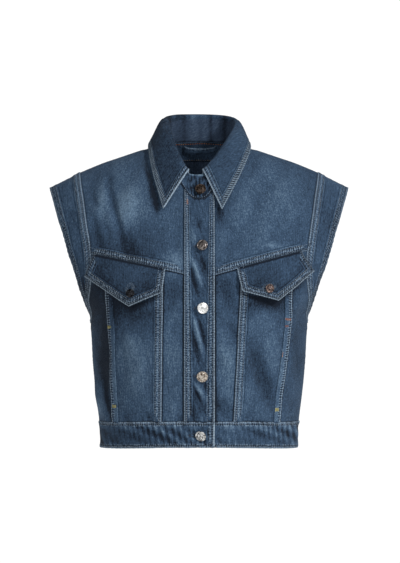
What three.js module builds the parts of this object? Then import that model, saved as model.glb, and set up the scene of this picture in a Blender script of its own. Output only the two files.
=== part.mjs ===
// A cropped, sleeveless denim jacket with cap shoulders, filled out as if it were worn by nobody.
// Millimetres, +Z up, +X to the wearer's left and -Y to the front. The origin lies midway between
// the two shoulders, on the line where the garment rests on whoever wears it.
//
// The cloth follows one hollow form. A place on it is (face, t, z): face is front or back, t runs
// from 0 at the centre to 1 at the side (negative on the wearer's right), and z is the height.
import * as THREE from "three";

// Cloth and seams
const CLOTH = 1.2; // one layer of denim
const DOUBLE = 2.1; // a folded or faced layer
const GAP = 0.3; // between neighbouring pieces
const CURVED_GAP = 0.6; // the same along a curved seam, where facets come closer
const FACE_GAP = 0.2; // how far each face stands back from the shoulder and side lines
const SEAM_RAISE = 0.9; // how far the folded edge of a felled seam stands proud
const SEAM_BAND = 10; // width of a felled seam
const SEAM_SLOPE = 1.5; // width of the step down from it

// Heights
const WAIST_Z = -436; // top of the waistband at the side seams
const HEM_Z = -476.5; // lower edge of the waistband at the side seams
const WAIST_RISE = 4; // how much higher the waistband's top lies at the centre front
const HEM_RISE = 5.5; // the same for its lower edge
const BACK_YOKE_Z = -105;
const BAND_END = { over: 23.6, under: -12 }; // where the waistband's two ends lie
const BAND_LIFT = { proud: 0.8, overFrom: -34, overTo: -16, underFrom: 26, underTo: 42 };

// Armholes, from the shoulder tip down to the side
const TIP_X = 238.5;
const TIP_Z = -62.4;
const UNDERARM_Z = -262;
const UNDERARM_X = 177;
const SEAM_TOP_X = 190.5; // where the cap's seam crosses the shoulder line
const SEAM_SIDE_Z = -279; // where it crosses the side line
const CAP_HEM = 12;

// Front opening
const PANEL_EDGE = { right: 22.7, left: 24 }; // where each front starts, from the centre
const PLACKET = { columns: [-22.3, -11, 0, 11, 23.6], out: 2.5, in: 0.3 };
const UNDER_PLACKET = { columns: [-15.4, -11, 0, 11, 23.6], out: 0, in: -2 };

// The neckline, by distance from the centre. Every piece that meets there has its corners here.
const NECK_HALF = 74;
const NECKLINE = {
  front: [
    { x: 0, z: -85 },
    { x: 11, z: -82 },
    { x: 23.3, z: -67.5 },
    { x: 33, z: -52 },
    { x: 44, z: -36 },
    { x: 54, z: -21.5 },
    { x: 64, z: -7.5 },
    { x: NECK_HALF, z: 6 },
  ],
  back: [
    { x: 0, z: 14 },
    { x: 23, z: 13.6 },
    { x: 43.5, z: 12.4 },
    { x: 60, z: 10.6 },
    { x: 70.5, z: 8.4 },
    { x: NECK_HALF, z: 6 },
  ],
};

// The hollow form: half width, depth of the centre front and centre back, and how round the sides
// are. Above the underarm the half width runs on past the armhole's edge.
const SECTIONS = [
  { z: -479, half: 156.5, front: 104, back: 92, round: 2.0 },
  { z: -436, half: 159.5, front: 107, back: 94, round: 2.0 },
  { z: -400, half: 164, front: 112, back: 97, round: 2.0 },
  { z: -340, half: 170, front: 119, back: 102, round: 2.0 },
  { z: -290, half: 173, front: 124, back: 106, round: 2.0 },
  { z: -262, half: 177, front: 125, back: 108, round: 1.95 },
  { z: -249, half: 187, front: 125, back: 109, round: 1.9 },
  { z: -235, half: 198, front: 124, back: 109, round: 1.85 },
  { z: -200, half: 223, front: 120, back: 110, round: 1.7 },
  { z: -150, half: 249, front: 108, back: 109, round: 1.55 },
  { z: -100, half: 268, front: 91, back: 104, round: 1.45 },
  { z: -62, half: 280, front: 75, back: 98, round: 1.4 },
  { z: 0, half: 292, front: 56, back: 82, round: 1.4 },
  { z: 60, half: 304, front: 42, back: 62, round: 1.4 },
];
const SQUARE = { front: 2.5, back: 2.8 }; // how flat each face is across the middle

// The shoulder line. Inside the neck it is only the crown that the neckline is cut from.
const SHOULDER = [
  { x: 0, z: 62 },
  { x: 40, z: 50 },
  { x: 62, z: 22 },
  { x: 78, z: 2 },
  { x: 94, z: -3.2 },
  { x: 113, z: -9.6 },
  { x: 132, z: -16 },
  { x: 151, z: -22.4 },
  { x: 170, z: -30 },
  { x: 190, z: -38.6 },
  { x: 209, z: -48 },
  { x: 228, z: -57.5 },
  { x: 238.5, z: -62.4 },
  { x: 262, z: -74 },
];
const SHOULDER_ROUND = 100; // height over which the shoulder rounds over
const SHOULDER_POWER = 2.2;
const CALM = { side: 0.12, shoulder: 14 }; // how near the side (in t) and shoulder lines folds die out

// The seam between body and cap, by height, as distance from the centre. Below its lowest row it
// turns out to the side line.
const ARMHOLE_SEAM = {
  front: [
    { z: -243, x: 173.5 },
    { z: -211, x: 169.5 },
    { z: -190, x: 169 },
    { z: -173, x: 170 },
    { z: -150, x: 172.5 },
    { z: -117, x: 177.5 },
    { z: -38.8, x: SEAM_TOP_X },
  ],
  back: [
    { z: -243, x: 177 },
    { z: -211, x: 176 },
    { z: -190, x: 176 },
    { z: -150, x: 178 },
    { z: -117, x: 181 },
    { z: -38.8, x: SEAM_TOP_X },
  ],
};
const SEAM_TURN = 0.6; // how early it turns out, as a power

// What differs between the two fronts, as distances from the centre. The side pocket's welt runs
// along its line, which is also the seam between front side panel and side panel.
const SIDES = [
  {
    name: "right",
    sign: -1,
    yoke: { inner: { x: 22, z: -200.6 }, outer: { x: 168.5, z: -169 } },
    vertical: { top: { x: 56.2, z: -190 }, bottom: { x: 59.3, z: -436 } },
    pocket: [
      { z: -436, x: 134.5 },
      { z: -392, x: 137.9 },
      { z: -329, x: 140.8 },
      { z: -274, x: 142.6 },
      { z: -241, x: 145 },
      { z: -165, x: 150 },
    ],
    flap: {
      topInner: { x: 53.2, z: -196 },
      inner: { x: 56.8, z: -230 },
      tip: { x: 104.8, z: -249.5 },
      outer: { x: 173.2, z: -203.5 },
      topOuter: { x: 163.9, z: -172.2 },
      button: { x: 102.5, z: -231 },
    },
  },
  {
    name: "left",
    sign: 1,
    yoke: { inner: { x: 22, z: -202.7 }, outer: { x: 166, z: -163.6 } },
    vertical: { top: { x: 67, z: -190 }, bottom: { x: 54.5, z: -436 } },
    pocket: [
      { z: -436, x: 125.5 },
      { z: -400, x: 128.8 },
      { z: -352, x: 134.8 },
      { z: -274, x: 144 },
      { z: -241, x: 144.4 },
      { z: -165, x: 147 },
    ],
    flap: {
      topInner: { x: 59.6, z: -194 },
      inner: { x: 66.3, z: -227.5 },
      tip: { x: 118.8, z: -240.5 },
      outer: { x: 175.5, z: -195.5 },
      topOuter: { x: 159, z: -167.8 },
      button: { x: 106, z: -223.6 },
    },
  },
];
const WELT = { width: 9.5, shorter: 2, out: 1.7, edge: 2.1, in: 0.3 };
const MIDDLE_Z = -300; // the height at which the front panels' widths are taken

// The flaps: how far they stand off, and where their columns lie, as shares of each lower edge
const FLAP = {
  thick: 2,
  clear: 1.3,
  lift: 7,
  belly: 2.2,
  underWelt: 2.2,
  tipShare: 0.44,
  inShares: [0, 0.09, 0.3, 0.55, 0.8, 1],
  outShares: [0.18, 0.36, 0.56, 0.78, 0.94, 1],
};

// The largest folds: troughs and ridges along straight lines on the front or back
const FOLDS = [
  { face: "front", x1: -149, z1: -34, x2: -137, z2: -118, wide: 9, high: -3.2 },
  { face: "front", x1: -142, z1: -92, x2: -108, z2: -184, wide: 9, high: -3.6 },
  { face: "front", x1: -124, z1: -62, x2: -118, z2: -150, wide: 13, high: 2.2 },
  { face: "front", x1: -163, z1: -60, x2: -158, z2: -150, wide: 9, high: 1.8 },
  { face: "front", x1: -152, z1: -225, x2: -146, z2: -425, wide: 9, high: -3.4 },
  { face: "front", x1: -163, z1: -330, x2: -138, z2: -440, wide: 10, high: 2.6 },
  { face: "front", x1: -102, z1: -262, x2: -92, z2: -400, wide: 20, high: 2.2 },
  { face: "front", x1: 82, z1: -272, x2: 116, z2: -418, wide: 13, high: -3.4 },
  { face: "front", x1: 108, z1: -262, x2: 128, z2: -372, wide: 14, high: 2.2 },
  { face: "front", x1: 22, z1: -386, x2: 66, z2: -432, wide: 8, high: -2.8 },
  { face: "front", x1: 40, z1: -200, x2: 52, z2: -270, wide: 8, high: -2.6 },
  { face: "front", x1: 96, z1: -48, x2: 88, z2: -160, wide: 17, high: -1.8 },
  { face: "front", x1: 142, z1: -60, x2: 134, z2: -150, wide: 14, high: 1.8 },
  { face: "back", x1: -132, z1: -120, x2: -84, z2: -330, wide: 17, high: -3.2 },
  { face: "back", x1: -108, z1: -250, x2: -100, z2: -430, wide: 16, high: 2.4 },
  { face: "back", x1: 126, z1: -130, x2: 90, z2: -300, wide: 16, high: -2.8 },
  { face: "back", x1: 98, z1: -290, x2: 116, z2: -430, wide: 15, high: -2.6 },
  { face: "back", x1: -20, z1: -240, x2: -8, z2: -425, wide: 22, high: 2.2 },
  { face: "back", x1: 42, z1: -330, x2: 34, z2: -436, wide: 13, high: -2.2 },
];

// The collar. Angles run round the neck from the centre front by way of the wearer's right, in
// degrees. The stand's right end laps over its left end, so both reach past the centre front.
const STAND = {
  firstAngles: [-16.5, -14.5, -11, -6, 0, 6],
  lastAngles: [360, 366, 371.5],
  thick: 2,
  roundFrom: -6,
  endHeight: 0.3,
  lip: 3,
};
const LEAF = { start: 13, end: 355, columns: 36, thick: 2 };
const OVERLAP = { out: 1.7, outFrom: 22, outTo: 60, in: 1.3, inFrom: 305, inTo: 345 };
const ROLL = [
  { angle: -16.5, x: 20, y: -67, z: -46, radius: 3 },
  { angle: -5, x: 6, y: -66, z: -43.5, radius: 3 },
  { angle: 13, x: -16.6, y: -62, z: -41, radius: 2.6 },
  { angle: 30, x: -31, y: -52, z: -23, radius: 3.4 },
  { angle: 50, x: -41, y: -36, z: -2, radius: 4.8 },
  { angle: 70, x: -46.5, y: -16, z: 19, radius: 5.6 },
  { angle: 90, x: -49, y: 6, z: 34, radius: 5.6 },
  { angle: 110, x: -48, y: 26, z: 43.5, radius: 5.2 },
  { angle: 135, x: -38, y: 43, z: 49.8, radius: 4.4 },
  { angle: 160, x: -20, y: 53, z: 52.8, radius: 3.6 },
  { angle: 180, x: 0, y: 56, z: 53.8, radius: 3.2 },
  { angle: 210, x: 29, y: 53, z: 52.8, radius: 3 },
  { angle: 235, x: 49, y: 41, z: 49.2, radius: 3 },
  { angle: 260, x: 57.5, y: 20, z: 42, radius: 2.8 },
  { angle: 280, x: 56, y: -1, z: 30.5, radius: 2.8 },
  { angle: 300, x: 49, y: -23, z: 14, radius: 3.1 },
  { angle: 320, x: 37, y: -41, z: -5, radius: 3.2 },
  { angle: 340, x: 21, y: -55, z: -26, radius: 3.2 },
  { angle: 355, x: 6.5, y: -62, z: -40, radius: 3.2 },
  { angle: 371.5, x: -14, y: -62.5, z: -43, radius: 3 },
];
const LEAF_EDGE = [
  { angle: 13, x: -55.7, y: -96, z: -98.5, belly: 3 },
  { angle: 30, x: -63.5, y: -81, z: -72, belly: 6 },
  { angle: 50, x: -72.5, y: -61, z: -41, belly: 8 },
  { angle: 70, x: -78.5, y: -36, z: -11, belly: 6 },
  { angle: 90, x: -80.5, y: -6, z: 5, belly: 2.5 },
  { angle: 110, x: -77, y: 22, z: 9.5, belly: 3 },
  { angle: 135, x: -62, y: 52, z: 9, belly: 4 },
  { angle: 160, x: -32, y: 75, z: 7, belly: 4 },
  { angle: 180, x: 0, y: 82, z: 6, belly: 4 },
  { angle: 200, x: 32, y: 75, z: 7, belly: 4 },
  { angle: 225, x: 62, y: 52, z: 9, belly: 4 },
  { angle: 250, x: 78.5, y: 22, z: 9.5, belly: 3 },
  { angle: 270, x: 82, y: -6, z: 5, belly: 2.5 },
  { angle: 290, x: 79.5, y: -36, z: -9, belly: 5 },
  { angle: 310, x: 68, y: -60, z: -37, belly: 7 },
  { angle: 333, x: 52, y: -81, z: -69, belly: 6 },
  { angle: 355, x: 36, y: -97, z: -99, belly: 3 },
];

const FACING = { rows: 5, out: -1.6, in: -2.7 };
const LOOP = { right: -24, left: 27, wide: 6, drop: 3.5, hang: 3, off: 5, thick: 1.8 };

const BUTTON = { radius: 8.7, shank: 3.2, stem: 2.3, rim: 1.2, dome: 1.5, sides: 16 };
const FLAP_BUTTON = { radius: 6.8, shank: 2.6, stem: 1.6, rim: 1, dome: 1.2, sides: 14 };
const FRONT_BUTTONS = [
  { name: "button_2", on: "placket", x: 5.4, z: -158, turn: -7, nod: -4 },
  { name: "button_3", on: "placket", x: 5.4, z: -254, turn: 9, nod: 3 },
  { name: "button_4", on: "placket", x: 5.3, z: -359.5, turn: -5, nod: 6 },
  { name: "button_5", on: "waistband_front_right", x: 2.3, z: -452.5, turn: 6, nod: 7 },
];
const COLLAR_BUTTON = { angle: -2, up: 0.34, turn: 4, nod: 2 };

const lerp = THREE.MathUtils.lerp;
const clamp = THREE.MathUtils.clamp;
const smoothstep = THREE.MathUtils.smoothstep;
const degrees = THREE.MathUtils.degToRad;

// A smooth curve through one column of a table whose rows rise in another column
function read(table, by, at, column) {
  const last = table.length - 1;
  let i = 0;
  while (i < last - 1 && table[i + 1][by] <= at) i++;
  const slope = (k) => (table[k + 1][column] - table[k][column]) / (table[k + 1][by] - table[k][by]);
  const step = table[i + 1][by] - table[i][by];
  const u = (at - table[i][by]) / step;
  if (u < 0 || u > 1) return table[u < 0 ? 0 : last][column] + slope(i) * (u < 0 ? u : u - 1) * step;
  const blend = (k) => {
    const before = table[k][by] - table[k - 1][by];
    const after = table[k + 1][by] - table[k][by];
    return (slope(k - 1) * after + slope(k) * before) / (before + after);
  };
  const m0 = i === 0 ? slope(0) : blend(i);
  const m1 = i + 1 === last ? slope(i) : blend(i + 1);
  const u2 = u * u;
  const u3 = u2 * u;
  return (
    (2 * u3 - 3 * u2 + 1) * table[i][column] +
    (u3 - 2 * u2 + u) * step * m0 +
    (3 * u2 - 2 * u3) * table[i + 1][column] +
    (u3 - u2) * step * m1
  );
}

const halfWidth = (z) => read(SECTIONS, "z", z, "half");
const shoulderZ = (x) => read(SHOULDER, "x", Math.abs(x), "z");
const across = (t) => Math.sin((t * Math.PI) / 2);
const tAt = (x, z) => (Math.asin(clamp(x / halfWidth(z), -1, 1)) * 2) / Math.PI;
const xAt = (t, z) => halfWidth(z) * across(t);

function form(face, t, z) {
  const side = Math.abs(across(t));
  const x = xAt(t, z);
  const flat = Math.pow(Math.max(0, 1 - Math.pow(side, SQUARE[face])), 1 / read(SECTIONS, "z", z, "round"));
  const under = clamp((shoulderZ(x) - z) / SHOULDER_ROUND, 0, 1);
  const shoulder = Math.sqrt(1 - Math.pow(1 - under, SHOULDER_POWER));
  const y = read(SECTIONS, "z", z, face) * flat * shoulder + FACE_GAP;
  return new THREE.Vector3(x, face === "front" ? -y : y, z);
}

// The outward normal of the form, from points a little to each side
function formNormal(face, t, z) {
  const dt = 0.002;
  const dz = 0.2;
  const t1 = Math.min(t + dt, 1);
  const t0 = Math.max(t1 - 2 * dt, -1);
  const z1 = Math.min(z + dz, shoulderZ(xAt(t, z)));
  const along = form(face, t1, z).sub(form(face, t0, z));
  const up = form(face, t, z1).sub(form(face, t, z1 - 2 * dz));
  const normal = along.cross(up).normalize();
  const p = form(face, t, z);
  const outward = new THREE.Vector3(p.x, p.y, 60);
  return normal.dot(outward) < 0 ? normal.negate() : normal;
}

function foldHeight(face, x, z) {
  let sum = 0;
  for (const f of FOLDS) {
    if (f.face !== face) continue;
    const dx = f.x2 - f.x1;
    const dz = f.z2 - f.z1;
    const length = Math.hypot(dx, dz);
    const s = ((x - f.x1) * dx + (z - f.z1) * dz) / (length * length);
    if (s <= 0 || s >= 1) continue;
    const off = ((x - f.x1) * dz - (z - f.z1) * dx) / length;
    sum += f.high * Math.exp(-((off / f.wide) ** 2)) * Math.sin(Math.PI * s) ** 2;
  }
  return sum;
}

// A point of the cloth, moved out from the form along its normal. Folds die out at the side and
// shoulder lines, so that front and back still meet there.
function cloth(face, t, z, out) {
  const x = xAt(t, z);
  const calm = smoothstep(1 - Math.abs(t), 0, CALM.side) * smoothstep(shoulderZ(x) - z, 0, CALM.shoulder);
  const high = foldHeight(face, x, z) * calm;
  return form(face, t, z).addScaledVector(formNormal(face, t, z), high + out);
}

// A closed wall from a grid of pairs of points, one on each of its surfaces
function wall(columns, rows, pairAt) {
  const position = [];
  const index = [];
  const grid = [[], []];
  for (let j = 0; j < rows; j++)
    for (let i = 0; i < columns; i++)
      pairAt(i, j).forEach((p, k) => grid[k].push(p));
  for (const p of [...grid[0], ...grid[1]]) position.push(p.x, p.y, p.z);
  const at = (k, i, j) => k * columns * rows + j * columns + i;
  const quad = (a, b, c, d) => index.push(a, b, c, a, c, d);
  for (let j = 0; j + 1 < rows; j++)
    for (let i = 0; i + 1 < columns; i++) {
      quad(at(0, i, j), at(0, i + 1, j), at(0, i + 1, j + 1), at(0, i, j + 1));
      quad(at(1, i, j), at(1, i, j + 1), at(1, i + 1, j + 1), at(1, i + 1, j));
    }
  for (let i = 0; i + 1 < columns; i++) {
    quad(at(0, i + 1, 0), at(0, i, 0), at(1, i, 0), at(1, i + 1, 0));
    quad(at(0, i, rows - 1), at(0, i + 1, rows - 1), at(1, i + 1, rows - 1), at(1, i, rows - 1));
  }
  for (let j = 0; j + 1 < rows; j++) {
    quad(at(0, 0, j), at(0, 0, j + 1), at(1, 0, j + 1), at(1, 0, j));
    quad(at(0, columns - 1, j + 1), at(0, columns - 1, j), at(1, columns - 1, j), at(1, columns - 1, j + 1));
  }
  const geometry = new THREE.BufferGeometry();
  geometry.setAttribute("position", new THREE.Float32BufferAttribute(position, 3));
  geometry.setIndex(signedVolume(position, index) < 0 ? index.reverse() : index);
  return geometry;
}

function signedVolume(position, index) {
  const corner = (k) => new THREE.Vector3().fromArray(position, index[k] * 3);
  let sum = 0;
  for (let k = 0; k < index.length; k += 3) sum += corner(k).dot(corner(k + 1).cross(corner(k + 2)));
  return sum;
}

const group = new THREE.Group();
const FINISH = {
  denim: { color: 0x3b5474, roughness: 0.9, metalness: 0 },
  button_metal: { color: 0xb9b4aa, roughness: 0.3, metalness: 1 },
  copper_metal: { color: 0x6b5348, roughness: 0.4, metalness: 1 },
};

function add(name, geometry, finish) {
  const mesh = new THREE.Mesh(geometry, new THREE.MeshStandardMaterial(FINISH[finish]));
  mesh.name = name;
  group.add(mesh);
  return mesh;
}

// A piece of cloth on the form. place(i, j) gives {t, z}; out and into give its two surfaces.
function clothPiece(name, face, columns, rows, place, out, into) {
  const pair = (i, j) => {
    const { t, z } = place(i, j);
    return [cloth(face, t, z, out(i, j)), cloth(face, t, z, into(i, j))];
  };
  add(name, wall(columns, rows, pair), "denim");
}

// Shares of a length: even steps, with a seam band and its step down at either end
function shares(count, length, { start = 0, end = 0 } = {}) {
  const list = [0];
  if (start) list.push(start, start + SEAM_SLOPE);
  const from = list[list.length - 1];
  const to = end ? length - end - SEAM_SLOPE : length;
  for (let k = 1; k < count; k++) list.push(lerp(from, to, k / count));
  if (end) list.push(to, length - end);
  list.push(length);
  return list.map((at) => at / length);
}

const flatZ = (face, t, side, rise) => side + (face === "front" ? rise * (1 - across(t) ** 2) : 0);
const waistZ = (face, t) => flatZ(face, t, WAIST_Z, WAIST_RISE);
const hemZ = (face, t) => flatZ(face, t, HEM_Z, HEM_RISE);
const lineAt = (a, b, z) => lerp(a.x, b.x, (z - a.z) / (b.z - a.z));
const yokeZ = (side, x) => lerp(side.yoke.inner.z, side.yoke.outer.z,
  (x - side.yoke.inner.x) / (side.yoke.outer.x - side.yoke.inner.x));
const verticalX = (side, z) => lineAt(side.vertical.top, side.vertical.bottom, z);
const pocketX = (side, z) => read(side.pocket, "z", z, "x");

// Where the neckline lies on either face: straight from corner to corner
function neckSpan(face, x) {
  const line = NECKLINE[face];
  const at = Math.min(Math.abs(x), NECK_HALF);
  const k = Math.max(1, line.findIndex((corner) => corner.x >= at));
  const [from, to] = [line[k - 1], line[k]];
  return { from, to, share: (at - from.x) / (to.x - from.x) };
}
function neckZ(face, x) {
  const { from, to, share } = neckSpan(face, x);
  return Math.min(lerp(from.z, to.z, share), shoulderZ(x));
}

// The armhole's two lines, as t by height: the seam of the cap and its free edge
function seamT(face, z) {
  const table = ARMHOLE_SEAM[face];
  if (z >= table[0].z) return tAt(read(table, "z", z, "x"), z);
  const low = tAt(table[0].x, table[0].z);
  const u = (z - SEAM_SIDE_Z) / (table[0].z - SEAM_SIDE_Z);
  return lerp(1, low, u ** SEAM_TURN);
}
const edgeX = (z) => lerp(UNDERARM_X, TIP_X, (z - UNDERARM_Z) / (TIP_Z - UNDERARM_Z));
const edgeT = (z) => (z <= UNDERARM_Z ? 1 : tAt(edgeX(z), z));

// Moves a place on a line across it, by a distance on the cloth. The line gives t by z.
function beside(face, lineT, z, distance) {
  const dz = 0.5;
  const dt = 0.003;
  const t = lineT(z);
  const up = Math.min(dz, shoulderZ(xAt(t, z)) - z);
  const slope = (lineT(z + up) - lineT(z - dz)) / (up + dz);
  const middle = Math.min(t, 1 - dt - 0.001);
  const wide = form(face, middle + dt, z).distanceTo(form(face, middle - dt, z)) / (2 * dt);
  const length = Math.hypot(wide * slope, 1);
  return { t: Math.min(1, t + distance / (length * wide)), z: z - (distance * wide * slope) / length };
}

// Stations along the armhole seam, shared by every piece that meets there: steps down from the
// shoulder, and heights below a yoke. None lies close to the yoke's own seam.
const SHOULDER_STEPS = [0, 1.5, 6, 11, 17.5, 28, 42, 60, 80, 100];
const UNDER_YOKE = [-184, -201, -218, -234, -248, -260, -270, -276.5, SEAM_SIDE_Z];
const UNDER_BACK_YOKE = [-125, -145, -165];
const CLEAR_OF_YOKE = { above: 18, below: 8 };
const SEAM_TOP_Z = shoulderZ(SEAM_TOP_X);

function yokeStations(seamZ) {
  const steps = SHOULDER_STEPS.map((d) => SEAM_TOP_Z - d).filter((z) => z > seamZ + CLEAR_OF_YOKE.above);
  return [seamZ, seamZ + SEAM_BAND, seamZ + SEAM_BAND + SEAM_SLOPE, ...steps.reverse()];
}
const underYoke = (seamZ) => UNDER_YOKE.filter((z) => z < seamZ - CLEAR_OF_YOKE.below);

// The places of a yoke's column: from its lower seam up to the neckline or the shoulder line
function yokeColumn(lower, upper, shareUp) {
  const lowDepth = shoulderZ(lower.x) - lower.z;
  const highDepth = shoulderZ(upper.x) - upper.z;
  const x = lerp(lower.x, upper.x, shareUp);
  const z = shoulderZ(x) - lerp(lowDepth, highDepth, shareUp);
  return { t: tAt(x, z), z };
}

function frontYoke(side) {
  const face = "front";
  const outerZ = side.yoke.outer.z + GAP / 2;
  const stations = yokeStations(outerZ);
  const ups = stations.map((z) => (z - outerZ) / (SEAM_TOP_Z - outerZ));
  const inner = PANEL_EDGE[side.name];
  const corners = NECKLINE[face].filter((corner) => corner.x > inner + 1).map((corner) => corner.x);
  const neckColumns = corners.length;
  const shoulderColumns = 7;
  const columns = neckColumns + shoulderColumns + 1;
  const upper = (i) => {
    if (i < neckColumns) {
      const x = i === 0 ? inner : corners[i - 1];
      return { x, z: neckZ(face, x) - GAP };
    }
    const x = lerp(NECK_HALF + GAP, SEAM_TOP_X - CURVED_GAP / 2, (i - neckColumns) / shoulderColumns);
    return { x, z: shoulderZ(x) };
  };
  const lower = (i) => {
    const x = lerp(inner, side.yoke.outer.x - CURVED_GAP / 2, i / (columns - 1));
    return { x, z: yokeZ(side, x) + GAP / 2 };
  };
  const place = (i, j) => {
    const at = i === columns - 1
      ? beside(face, (z) => seamT(face, z), stations[j], -CURVED_GAP / 2)
      : yokeColumn(lower(i), upper(i), ups[j]);
    return { t: side.sign * at.t, z: at.z };
  };
  const out = (i, j) => (j < 2 ? SEAM_RAISE : 0);
  clothPiece(`front_yoke_${side.name}`, face, columns, stations.length, place, out, () => -CLOTH);
}

// Places on a lower front panel between two upright lines, from the waistband up to the yoke
const LOWER_ROWS = 14;
function lowerFront(side, innerX, outerX, columnShares) {
  return (i, j) => {
    const share = columnShares[i];
    const xTo = (z) => lerp(innerX(z), outerX(z), share);
    let top = side.yoke.inner.z;
    for (let k = 0; k < 4; k++) top = yokeZ(side, xTo(top)) - GAP / 2;
    const foot = waistZ("front", tAt(xTo(WAIST_Z), WAIST_Z)) + GAP / 2;
    const z = lerp(foot, top, j / LOWER_ROWS);
    return { t: side.sign * tAt(xTo(z), z), z };
  };
}

// The front's centre panel, its side panel with the felled seam's raised edge, and the welt that
// is stitched down on the side panel along the pocket
function lowerFronts(side) {
  const rows = LOWER_ROWS + 1;
  const inner = PANEL_EDGE[side.name];
  const into = () => -CLOTH;
  const centre = shares(3, verticalX(side, MIDDLE_Z) - inner);
  const centrePlace = lowerFront(side, () => inner, (z) => verticalX(side, z) - GAP / 2, centre);
  clothPiece(`front_centre_${side.name}`, "front", centre.length, rows, centrePlace, () => 0, into);

  const width = pocketX(side, MIDDLE_Z) - verticalX(side, MIDDLE_Z);
  const columns = shares(5, width, { start: SEAM_BAND, end: WELT.width });
  const seamX = (z) => verticalX(side, z) + GAP / 2;
  const pocketEdgeX = (z) => pocketX(side, z) - GAP / 2;
  const place = lowerFront(side, seamX, pocketEdgeX, columns);
  const raised = (i) => (i < 2 ? SEAM_RAISE : 0);
  clothPiece(`front_side_${side.name}`, "front", columns.length, rows, place, raised, into);

  const weltPlace = (i, j) => place(columns.length - 2 + i, j);
  const weltOut = (i) => (i ? WELT.edge : WELT.out);
  const weltName = `pocket_welt_${side.name}`;
  clothPiece(weltName, "front", 2, rows - WELT.shorter, weltPlace, weltOut, () => WELT.in);
}

// The side panel, from the pocket's line to the side seam. Its top edge runs along the yoke and
// then down the armhole seam.
function sidePanel(side) {
  const face = "front";
  const seam = underYoke(side.yoke.outer.z);
  const yokeShares = [0, 0.55];
  const top = [];
  for (const share of yokeShares) {
    const x = lerp(pocketX(side, side.yoke.outer.z) + GAP / 2, side.yoke.outer.x, share);
    const z = yokeZ(side, x) - CURVED_GAP;
    top.push({ t: tAt(x, z), z });
  }
  for (const z of [side.yoke.outer.z - CURVED_GAP, ...seam])
    top.push(beside(face, (h) => seamT(face, h), z, -CURVED_GAP / 2));
  top[top.length - 1] = { t: 1, z: SEAM_SIDE_Z - CURVED_GAP / 2 };
  const rows = 12;
  const pocketT = (z) => tAt(pocketX(side, z) + GAP / 2, z);
  const shareOf = (t, z) => (t - pocketT(z)) / (1 - pocketT(z));
  const place = (i, j) => {
    const foot = i / (top.length - 1);
    const footT = lerp(pocketT(WAIST_Z), 1, foot);
    const z = lerp(waistZ(face, footT) + GAP / 2, top[i].z, j / (rows - 1));
    const share = lerp(foot, shareOf(top[i].t, top[i].z), j / (rows - 1));
    return { t: side.sign * lerp(pocketT(z), 1, share), z };
  };
  clothPiece(`side_panel_${side.name}`, face, top.length, rows, place, () => 0, () => -CLOTH);
}

// One half of a cap: a ring round the armhole, from the shoulder line down to the side line
function cap(side, face) {
  const seamZ = face === "front" ? side.yoke.outer.z : BACK_YOKE_Z;
  const stations = [...underYoke(seamZ).reverse(), ...yokeStations(seamZ)];
  const width = TIP_X - SEAM_TOP_X;
  const columns = shares(2, width, { start: SEAM_BAND, end: CAP_HEM });
  const place = (i, j) => {
    const z = stations[j];
    const last = j === 0;
    const seam = last
      ? { t: 1, z: SEAM_SIDE_Z + CURVED_GAP / 2 }
      : beside(face, (h) => seamT(face, h), z, CURVED_GAP / 2);
    const down = (SEAM_TOP_Z - z) / (SEAM_TOP_Z - SEAM_SIDE_Z);
    const edgeZ = lerp(TIP_Z, UNDERARM_Z, down);
    const top = j === stations.length - 1;
    const t = lerp(seam.t, edgeT(edgeZ), columns[i]);
    if (!top) return { t: side.sign * t, z: lerp(seam.z, edgeZ, columns[i]) };
    // the shoulder line's height at this t, found by closing in on it
    let ridge = lerp(seam.z, TIP_Z, columns[i]);
    for (let k = 0; k < 12; k++) ridge = shoulderZ(xAt(t, ridge));
    return { t: side.sign * t, z: ridge };
  };
  const out = (i) => (i < 2 ? SEAM_RAISE : 0);
  const into = (i) => (i >= columns.length - 2 ? -DOUBLE : -CLOTH);
  clothPiece(`cap_${face}_${side.name}`, face, columns.length, stations.length, place, out, into);
}

// The back yoke, from one armhole seam over the neck to the other. Its neck columns also carry
// the facing inside.
const BACK_NECK = NECKLINE.back.slice(1).map((corner) => corner.x);
const BACK_CORNERS = [...BACK_NECK.map((x) => -x).reverse(), 0, ...BACK_NECK];
const BACK_SHOULDER_COLUMNS = 6;

function backYokeGrid() {
  const face = "back";
  const seamZ = BACK_YOKE_Z + GAP / 2;
  const stations = yokeStations(seamZ);
  const outer = [];
  for (let k = 0; k < BACK_SHOULDER_COLUMNS; k++)
    outer.push(lerp(SEAM_TOP_X - CURVED_GAP / 2, NECK_HALF + GAP, k / BACK_SHOULDER_COLUMNS));
  const uppers = [...outer.map((x) => -x), ...BACK_CORNERS, ...outer.slice().reverse()];
  const last = uppers.length - 1;
  const lowOuter = xAt(seamT(face, seamZ), seamZ) - CURVED_GAP / 2;
  const place = (i, j) => {
    const end = i === 0 || i === last;
    const sign = i === 0 ? -1 : 1;
    if (end) {
      const at = beside(face, (z) => seamT(face, z), stations[j], -CURVED_GAP / 2);
      return { t: sign * at.t, z: at.z };
    }
    const ups = (stations[j] - seamZ) / (SEAM_TOP_Z - seamZ);
    const lower = { x: lerp(-lowOuter, lowOuter, i / last), z: seamZ };
    const inNeck = Math.abs(uppers[i]) <= NECK_HALF;
    const high = { x: uppers[i], z: inNeck ? neckZ(face, uppers[i]) - GAP : shoulderZ(uppers[i]) };
    return yokeColumn(lower, high, ups);
  };
  return { columns: uppers.length, rows: stations.length, place };
}

function backYoke() {
  const { columns, rows, place } = backYokeGrid();
  const out = (i, j) => (j < 2 ? SEAM_RAISE : 0);
  clothPiece("back_yoke", "back", columns, rows, place, out, () => -CLOTH);
}

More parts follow.
